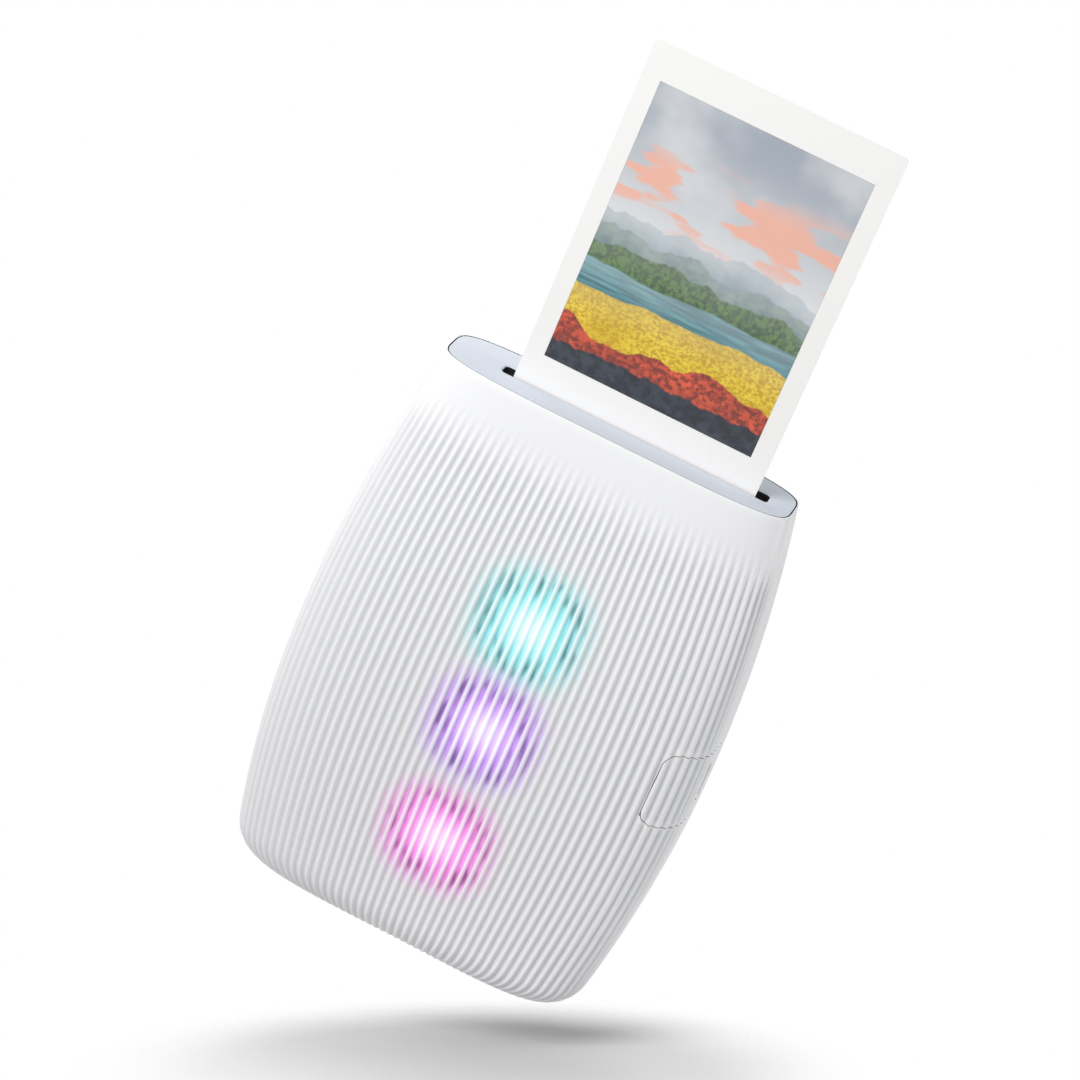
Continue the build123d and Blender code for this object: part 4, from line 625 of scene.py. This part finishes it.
def landscape(name, low, high):
    """A made-up landscape: pale sky, coral cloud streaks, green hills, a yellow field and dark water."""
    nodes = Nodes(name)
    width, height = high[0] - low[0], high[2] - low[2]
    place = nodes.node("ShaderNodeMapping", {
        "Vector": nodes.object_place,
        "Location": (-(low[0] + high[0]) / 2 / width, 0.0, -(low[2] + high[2]) / 2 / height),
        "Scale": (1 / width, 1.0, 1 / height),
    })
    u, v = nodes.x_and_z(place.outputs[0])
    haze_colour = (0.74, 0.76, 0.78, 1.0)

    def flat_noise(scale_u, scale_v, detail=4.0, seed=0.0):
        spot = nodes.node("ShaderNodeCombineXYZ", {
            0: nodes.math("MULTIPLY", u, scale_u), 1: nodes.math("MULTIPLY", v, scale_v), 2: seed,
        })
        return nodes.noise(spot.outputs[0], 1.0, detail=detail)

    sky = nodes.mix(nodes.smooth_range(v, -0.1, 0.5), (0.80, 0.81, 0.82, 1), (0.36, 0.40, 0.46, 1))
    haze = flat_noise(2.0, 3.0, 3.0, 4.0)
    sky = nodes.mix(nodes.smooth_range(haze, 0.45, 0.7, 0.0, 0.5), sky, (0.86, 0.86, 0.86, 1))
    streak = flat_noise(2.2, 11.0, 3.0, 9.0)
    band = nodes.math("MULTIPLY", nodes.smooth_range(v, 0.02, 0.14),
                      nodes.smooth_range(v, 0.24, 0.36, 1.0, 0.0))
    coral = nodes.math("MULTIPLY", nodes.smooth_range(streak, 0.50, 0.56), band)
    picture = nodes.mix(nodes.math("MULTIPLY", coral, 0.85), sky, (0.93, 0.45, 0.32, 1))
    # height, swing, waves across, seed, dark, light, haze at its top, texture across and up
    layers = (
        (0.060, 0.15, 2.6, 1.0, (0.30, 0.37, 0.42), (0.40, 0.47, 0.52), 0.55, (9.0, 22.0)),
        (0.005, 0.12, 3.2, 7.0, (0.12, 0.20, 0.20), (0.22, 0.31, 0.27), 0.30, (20.0, 34.0)),
        (-0.050, 0.10, 3.4, 5.0, (0.030, 0.085, 0.035), (0.12, 0.22, 0.06), 0.12, (60.0, 60.0)),
        (-0.125, 0.03, 2.2, 12.0, (0.015, 0.13, 0.16), (0.10, 0.33, 0.37), 0.25, (5.0, 90.0)),
        (-0.205, 0.10, 1.6, 21.0, (0.56, 0.34, 0.01), (0.90, 0.66, 0.05), 0.10, (70.0, 110.0)),
        (-0.345, 0.12, 2.4, 33.0, (0.20, 0.03, 0.02), (0.80, 0.11, 0.05), 0.0, (46.0, 64.0)),
        (-0.420, 0.10, 3.8, 41.0, (0.008, 0.012, 0.022), (0.035, 0.045, 0.065), 0.0, (30.0, 40.0)),
    )
    for level, swing, waves, seed, dark, light, haze_share, (across, upward) in layers:
        ridge = flat_noise(waves, 0.0, 4.0, seed)
        ridge = nodes.math("MULTIPLY", nodes.math("SUBTRACT", ridge, 0.5), 2 * swing)
        top = nodes.math("ADD", ridge, level)
        depth = nodes.math("SUBTRACT", top, v)
        texture = flat_noise(across, upward, 6.0, seed + 0.5)
        colour = nodes.mix(nodes.smooth_range(texture, 0.35, 0.65), dark + (1.0,), light + (1.0,))
        broad = flat_noise(4.0, 9.0, 2.0, seed + 3.5)
        colour = nodes.mix(nodes.smooth_range(broad, 0.4, 0.7, 0.0, 0.45), colour, dark + (1.0,))
        colour = nodes.mix(nodes.smooth_range(depth, 0.0, 0.12, haze_share, 0.0), colour,
                           haze_colour)
        picture = nodes.mix(nodes.smooth_range(depth, -0.004, 0.004), picture, colour)
    nodes.set("Base Color", picture)
    nodes.set("Roughness", 0.3)
    nodes.set("Coat Weight", 0.3)
    nodes.set("Coat Roughness", 0.15)
    nodes.bump(flat_noise(300.0, 400.0), 0.03, 0.00001)
    return nodes.material


def make_materials():
    """One finish for every material slot in the record, one for the lit front and one of painted shade
    for gap walls.
    """
    return {
        "plate_grey": moulded("plate_grey", (0.60, 0.645, 0.715), 0.5).material,
        "black_plastic": moulded("black_plastic", (0.012, 0.012, 0.014), 0.5).material,
        "dark_plastic": moulded("dark_plastic", (0.05, 0.05, 0.055), 0.5).material,
        "grey_plastic": moulded("grey_plastic", (0.42, 0.44, 0.47), 0.45).material,
        "gear_white": moulded("gear_white", (0.80, 0.78, 0.72), 0.38).material,
        "rubber": moulded("rubber", (0.03, 0.03, 0.03), 0.75, grain=1400.0, depth=0.00004).material,
        "steel": brushed("steel", (0.58, 0.59, 0.61)).material,
        "dark_steel": brushed("dark_steel", (0.12, 0.12, 0.125), 0.45).material,
        "brass": brushed("brass", (0.76, 0.56, 0.22)).material,
        "battery_foil": brushed("battery_foil", (0.70, 0.71, 0.73), 0.4).material,
        "card": paper("card", (0.95, 0.94, 0.925)).material,
        "film_dark": paper("film_dark", (0.03, 0.03, 0.035)).material,
        "foam": foam("foam", (0.04, 0.04, 0.045)).material,
        "board_green": solder_mask("board_green", (0.02, 0.13, 0.06)).material,
        "lens": clear_glass("lens", (0.85, 0.92, 1.0)).material,
        "chip": lit_plastic("chip", (0.95, 0.93, 0.70), 0.5).material,
        "light_cyan": lit_plastic("light_cyan", (0.35, 0.95, 0.98), 0.8).material,
        "light_violet": lit_plastic("light_violet", (0.62, 0.45, 1.0), 0.8).material,
        "light_magenta": lit_plastic("light_magenta", (0.98, 0.30, 0.90), 0.8).material,
        "housing_white": white_housing("housing_white", lit=False),
        "picture": landscape("picture", *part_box("print_picture")),
        "housing_white_lit": white_housing("housing_white_lit", lit=True),
        # dark grey painted on the walls of gaps between parts, as shade
        "gap_shade_paint": moulded("gap_shade_paint", (0.13, 0.13, 0.14), 0.7).material,
    }


def paint(piece, material):
    piece.data.materials.clear()
    piece.data.materials.append(material)


# ================================================================ housing
def outer_rings():
    """The fluted outside of the housing, from the flat base up over the rounded rim."""
    heights = []
    for step in range(BASE_STEPS):
        heights.append(BASE_ROUND_X * (1 - cos(pi / 2 * step / BASE_STEPS)))
    fade_start = BODY_HEIGHT - SMOOTH_TOP - FLUTE_FADE
    heights += list(np.linspace(BASE_ROUND_X, fade_start, SIDE_STEPS))
    heights += list(np.linspace(fade_start, BODY_HEIGHT - RIM_ROUND, FADE_STEPS))[1:]
    levels = [(height, 0.0) for height in heights]
    for turn in EDGE_TURNS:
        inset = RIM_ROUND * (1 - cos(radians(turn)))
        levels.append((BODY_HEIGHT - RIM_ROUND * (1 - sin(radians(turn))), inset))
    pairs = [fluted_ring(height, inset) for height, inset in levels]
    return [ring for ring, _ in pairs], [groove for _, groove in pairs]


def grooved_piece(name, rings, grooves):
    """A skin through rings whose points know how deep in a groove they are."""
    piece = ring_stack(name, rings)
    attribute = piece.data.attributes.new("groove", "FLOAT", "POINT")
    attribute.data.foreach_set("value", np.concatenate(grooves).astype(np.float32))
    return piece


def make_shell():
    """The whole barrel wall as one closed skin: outside, rim, plate seat, inside."""
    rings, grooves = outer_rings()
    seat_height = BODY_HEIGHT - PLATE_T
    # the seat wall round the top plate gets the value that paints shade on it
    levels = [(height, RIM_T, GAP_SHADE_VALUE) for height in (BODY_HEIGHT, seat_height)]
    levels += [(height, WALL, 0.0) for height in (seat_height, *INNER_HEIGHTS)]
    for height, inset, groove in levels:
        rings.append(plain_ring(height, inset))
        grooves.append(np.full(len(rings[0]), groove))
    return grooved_piece("barrel", rings, grooves)


def front_half():
    return prism("front_half", rectangle(-FAR, FAR, *CUT_Z), "XZ", -FAR, -SEAM)


def rear_half():
    return prism("rear_half", rectangle(-FAR, FAR, *CUT_Z), "XZ", SEAM, FAR)


def panel_outline(gap):
    """The port panel, drawn as far again past FAR, so that only its front corners are round."""
    low, high = PANEL_Z
    width = 2 * (FAR - PANEL_FRONT_X - gap)
    return FAR, (low + high) / 2, width, high - low - 2 * gap, PANEL_CORNER - gap


def panel_prism(gap):
    return prism("panel_cut", rounded_rectangle(*panel_outline(gap)), "XZ", -FAR, 0.0)


def door_prism(gap):
    low, high = DOOR_Z
    outline = rounded_rectangle(0, (low + high) / 2, 2 * (DOOR_HALF + gap), high - low + 2 * gap,
                                DOOR_CORNER + gap)
    return prism("door_cut", outline, "XZ", 0.0, FAR)


def button_prism(name, gap, end_x):
    """The button's round-ended outline, grown by gap, from outside the housing in to end_x."""
    outline = rounded_rectangle(BUTTON_Y, BUTTON_Z, BUTTON_W + 2 * gap, BUTTON_L + 2 * gap,
                                BUTTON_W / 2 + gap - CORNER_TRIM)
    return prism(name, outline, "YZ", -FAR, end_x)


def hinge_eyes(name, span, foot):
    """An eye round the hinge pin and its foot, on the left and on the right."""
    parts = []
    for side in (-1, 1):
        near, far = sorted(side * x for x in span)
        parts.append(prism(name, even_sided(HINGE_Y, HINGE_Z, KNUCKLE_R, HINGE_SIDES), "YZ", near, far))
        parts.append(prism(name + "_foot", foot, "YZ", near, far))
    return parts


def make_port_panel(shell, materials):
    socket = (PORT_Y, PORT_Z, SOCKET_H + 2 * SOCKET_GAP, SOCKET_W + 2 * SOCKET_GAP, SOCKET_CORNER)
    panel = copy_piece(shell, "port_panel_skin")
    boolean(panel, panel_prism(PANEL_GAP), "INTERSECT")
    boolean(panel, front_half(), "INTERSECT")
    boolean(panel, prism("socket_cut", rounded_rectangle(*socket), "YZ", SOCKET_CUT_X, FAR))
    paint(panel, materials["housing_white"])
    # painted shade on the walls of the gap round the port panel
    line_walls(panel, materials["gap_shade_paint"], "XZ", *panel_outline(PANEL_GAP))
    # painted shade: the socket opening's walls are coloured black
    line_walls(panel, materials["black_plastic"], "YZ", *socket)
    finish_piece(panel, "housing", "port_panel")


def make_front_cover(shell, materials):
    front = copy_piece(shell, "front_cover_skin")
    boolean(front, front_half(), "INTERSECT")
    boolean(front, panel_prism(0.0))
    boolean(front, button_prism("button_cut", BUTTON_GAP, BUTTON_CUT_X))
    paint(front, materials["housing_white_lit"])
    # painted shade on the front cover's walls of the gap round the port panel
    line_walls(front, materials["gap_shade_paint"], "XZ", *panel_outline(0.0))
    finish_piece(front, "housing", "front_cover")


def make_rear_cover(shell, materials):
    rear = copy_piece(shell, "rear_cover_skin")
    boolean(rear, rear_half(), "INTERSECT")
    boolean(rear, door_prism(DOOR_GAP))
    room = KNUCKLE_R + HINGE_ROOM
    for name, reach, low in (
        ("trough_cut", LUG_X[1] + HINGE_ROOM, HINGE_Z),
        ("knuckle_cut", KNUCKLE_X[1] + HINGE_ROOM, HINGE_Z - room),
    ):
        boolean(rear, prism(name, rectangle(-reach, reach, low, DOOR_Z[0]), "XZ", HINGE_Y - room, FAR))
    foot = rectangle(HINGE_Y - KNUCKLE_R / 2, HINGE_Y + WALL / 2, HINGE_Z - 2 * KNUCKLE_R, HINGE_Z)
    join(rear, *hinge_eyes("lug", LUG_X, foot))
    paint(rear, materials["housing_white"])
    finish_piece(rear, "housing", "rear_cover")


def make_film_door(shell, materials):
    door = copy_piece(shell, "film_door_skin")
    boolean(door, door_prism(0.0), "INTERSECT")
    boolean(door, prism("tab_cut", rectangle(-TAB_HALF, TAB_HALF, *TAB_Z), "XZ", TAB_Y, FAR))
    web = rectangle(HINGE_Y - KNUCKLE_WEB_FRONT, HINGE_Y + WALL, HINGE_Z, DOOR_Z[0] + KNUCKLE_WEB_RISE)
    join(door, *hinge_eyes("knuckle", KNUCKLE_X, web))
    paint(door, materials["housing_white"])
    finish_piece(door, "film_door", "film_door")


def make_button(materials):
    """The power button: a cap that carries the housing's flutes on, its flange and its stem."""
    button = grooved_piece("power_button_skin", *outer_rings())
    _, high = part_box("power_button")
    stem_end = high[0] / MM
    flange_x = stem_end - BUTTON_STEM - BUTTON_FLANGE_T
    boolean(button, button_prism("cap", 0.0, flange_x + BUTTON_OVERLAP), "INTERSECT")
    half_w = BUTTON_W / 2 + BUTTON_FLANGE
    half_l = BUTTON_L / 2 + BUTTON_FLANGE
    outline = rectangle(BUTTON_Y - half_w, BUTTON_Y + half_w, BUTTON_Z - half_l, BUTTON_Z + half_l)
    flange = prism("flange", outline, "YZ", flange_x, flange_x + BUTTON_FLANGE_T)
    outline = even_sided(BUTTON_Y, BUTTON_Z, BUTTON_STEM_R, STEM_SIDES)
    join(button, flange, prism("stem", outline, "YZ", flange_x, stem_end))
    paint(button, materials["housing_white"])
    finish_piece(button, "power_button", "power_button")


def finish_piece(piece, body, node):
    """Makes a piece stand for a CAD node and move with a body."""
    smooth_by_angle(piece)
    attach(piece, body)
    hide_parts(node)


def plate_ring(height, inset):
    """A plain ring with the outline of the housing's top, at another height."""
    ring = plain_ring(BODY_HEIGHT, inset)
    ring[:, 2] = height * MM
    return ring


def make_top_plate(materials):
    """The plate with a rounded upper edge and a slot with a small chamfer; the slot walls are painted
    black, standing in for the black guide below and for the shade in the slot, and the side walls carry
    painted shade.
    """
    edge = RIM_T + PLATE_GAP
    rings = [plate_ring(BODY_HEIGHT - PLATE_T, edge)]
    for turn in (0, *EDGE_TURNS):
        inset = edge + PLATE_ROUND * (1 - cos(radians(turn)))
        rings.append(plate_ring(BODY_HEIGHT - PLATE_ROUND * (1 - sin(radians(turn))), inset))
    plate = ring_stack("top_plate_skin", rings)
    cut = []
    for height, grow in ((BODY_HEIGHT - PLATE_T - 1, 0.0), (BODY_HEIGHT - SLOT_CHAMFER, 0.0),
                         (BODY_HEIGHT + 1, SLOT_CHAMFER + 1)):
        outline = rounded_rectangle(SLOT_X, SLOT_Y, SLOT_W + 2 * grow, SLOT_D + 2 * grow,
                                    SLOT_CORNER + grow)
        cut.append(np.array([(u, v, height) for u, v in outline]) * MM)
    boolean(plate, ring_stack("slot_cut", cut))
    paint(plate, materials["plate_grey"])
    # painted shade on the plate's side walls, in the gap round it
    plate.data.materials.append(materials["gap_shade_paint"])
    for face in plate.data.polygons:
        if abs(face.normal.z) < STEEP:
            face.material_index = 1
    # painted black: the slot's walls stand in for the shade in the slot as well as the black guide below
    # it
    line_walls(plate, materials["black_plastic"], "XY", SLOT_X, SLOT_Y, SLOT_W, SLOT_D, SLOT_CORNER)
    finish_piece(plate, "housing", "top_plate")


# ================================================================ stage, lights and camera
def camera_axes():
    """The camera's right, up and backward directions."""
    forward = (Vector(CAMERA_TARGET) - Vector(CAMERA_PLACE)).normalized()
    level_right = forward.cross(Vector((0.0, 0.0, 1.0))).normalized()
    level_up = level_right.cross(forward)
    right = level_right * cos(CAMERA_ROLL) + level_up * sin(CAMERA_ROLL)
    up = level_up * cos(CAMERA_ROLL) - level_right * sin(CAMERA_ROLL)
    return right, up, -forward


def floor_axes():
    """Across, deep and normal: the floor lies level in the picture, under the leaning printer."""
    right, up, back = camera_axes()
    normal = up * cos(FLOOR_RISE) + back * sin(FLOOR_RISE)
    return right, normal.cross(right), normal


def floor_material(middle, across, deep):
    """White ground with a shadow painted under the object from ambient occlusion, fading out at its rim
    and showing from above only.
    """
    nodes = Nodes("floor")
    tree = nodes.tree
    away = nodes.node("ShaderNodeVectorMath", {0: nodes.object_place, 1: middle * MM},
                      operation="SUBTRACT").outputs[0]
    squares = []
    for axis, half in zip((across, deep), FLOOR_HALF):
        share = nodes.node("ShaderNodeVectorMath", {0: away, 1: axis / (half * MM)},
                           operation="DOT_PRODUCT").outputs["Value"]
        squares.append(nodes.math("MULTIPLY", share, share))
    radius = nodes.math("SQRT", nodes.math("ADD", *squares))
    open_sky = nodes.node("ShaderNodeAmbientOcclusion", {"Distance": FLOOR_REACH * MM}).outputs["AO"]
    # painted shadow: the floor's colour darkens where ambient occlusion finds the object near
    nodes.set("Base Color", nodes.mix(open_sky, FLOOR_PAINTED_SHADOW, FLOOR_PALE))
    nodes.set("Roughness", 0.9)
    nodes.set("Specular IOR Level", 0.0)
    clear = nodes.node("ShaderNodeBsdfTransparent")
    blend = nodes.node("ShaderNodeMixShader")
    below = nodes.node("ShaderNodeNewGeometry").outputs["Backfacing"]
    nodes.put(blend.inputs[0], nodes.math("MAXIMUM", nodes.smooth_range(radius, *FLOOR_FADE), below))
    tree.links.new(nodes.shader.outputs[0], blend.inputs[1])
    tree.links.new(clear.outputs[0], blend.inputs[2])
    tree.links.new(blend.outputs[0], tree.nodes["Material Output"].inputs["Surface"])
    return nodes.material


def make_floor():
    across, deep, _ = floor_axes()
    right, up, _ = camera_axes()
    middle = HOUSING_MIDDLE + right * FLOOR_MIDDLE[0] + up * FLOOR_MIDDLE[1]
    vertices = []
    for i in range(FLOOR_POINTS):
        angle = 2 * pi * i / FLOOR_POINTS
        point = across * (FLOOR_HALF[0] * cos(angle)) + deep * (FLOOR_HALF[1] * sin(angle))
        vertices.append((middle + point) * MM)
    floor = new_piece("floor", vertices, [tuple(range(FLOOR_POINTS))])
    paint(floor, floor_material(middle, across, deep))


def make_world():
    """White for the camera, for gloss and for glass; a softer grey-white light on the object."""
    world = bpy.data.worlds.new("studio")
    bpy.context.scene.world = world
    world.use_nodes = True
    tree = world.node_tree
    path = tree.nodes.new("ShaderNodeLightPath")
    seen = path.outputs["Is Camera Ray"]
    for ray in ("Is Transmission Ray", "Is Glossy Ray"):
        either = tree.nodes.new("ShaderNodeMath")
        either.operation = "MAXIMUM"
        tree.links.new(seen, either.inputs[0])
        tree.links.new(path.outputs[ray], either.inputs[1])
        seen = either.outputs[0]
    shown = tree.nodes["Background"]
    shown.inputs["Color"].default_value = (1.0, 1.0, 1.0, 1.0)
    shown.inputs["Strength"].default_value = 1.0
    light = tree.nodes.new("ShaderNodeBackground")
    light.inputs["Color"].default_value = WORLD_TINT
    light.inputs["Strength"].default_value = WORLD_LIGHT
    blend = tree.nodes.new("ShaderNodeMixShader")
    tree.links.new(seen, blend.inputs[0])
    tree.links.new(light.outputs[0], blend.inputs[1])
    tree.links.new(shown.outputs[0], blend.inputs[2])
    tree.links.new(blend.outputs[0], tree.nodes["World Output"].inputs["Surface"])


def make_lamp(name, place, size, power):
    """A round lamp that faces the object; place and size in mm, power in watts."""
    lamp = bpy.data.lights.new(name, "AREA")
    lamp.shape = "DISK"
    lamp.size = size * MM
    lamp.energy = power
    holder = bpy.data.objects.new(name, lamp)
    turned = (place - LAMP_TARGET).to_track_quat("Z", "Y").to_matrix().to_4x4()
    holder.matrix_world = Matrix.Translation(place * MM) @ turned
    bpy.context.scene.collection.objects.link(holder)


def make_camera():
    camera = bpy.data.cameras.new("camera")
    camera.lens = CAMERA_LENS
    camera.sensor_width = CAMERA_SENSOR
    camera.clip_start, camera.clip_end = CAMERA_CLIP
    holder = bpy.data.objects.new("camera", camera)
    bpy.context.scene.collection.objects.link(holder)
    turned = Matrix(camera_axes()).transposed().to_4x4()
    holder.matrix_world = Matrix.Translation(Vector(CAMERA_PLACE) * MM) @ turned
    bpy.context.scene.camera = holder


# ================================================================ scene
materials = make_materials()
for node, slot in SLOT_OF_NODE.items():
    for material_slot in frame["nodes"][node].material_slots:
        material_slot.material = materials[slot]

shell = make_shell()
make_port_panel(shell, materials)
make_front_cover(shell, materials)
make_rear_cover(shell, materials)
make_film_door(shell, materials)
delete(shell)
make_button(materials)
make_top_plate(materials)
make_floor()
make_world()
make_lamp("key", Vector((-420.0, -520.0, 620.0)), 420.0, 5.7)
make_lamp("fill", Vector((700.0, 90.0, 60.0)), 420.0, 1.5)
make_lamp("rear", Vector((-260.0, 660.0, 60.0)), 420.0, 1.8)
make_lamp("over", HOUSING_MIDDLE + floor_axes()[2] * OVER_HEIGHT, 300.0, 0.55)
make_camera()
bpy.context.scene.view_settings.view_transform = "Standard"
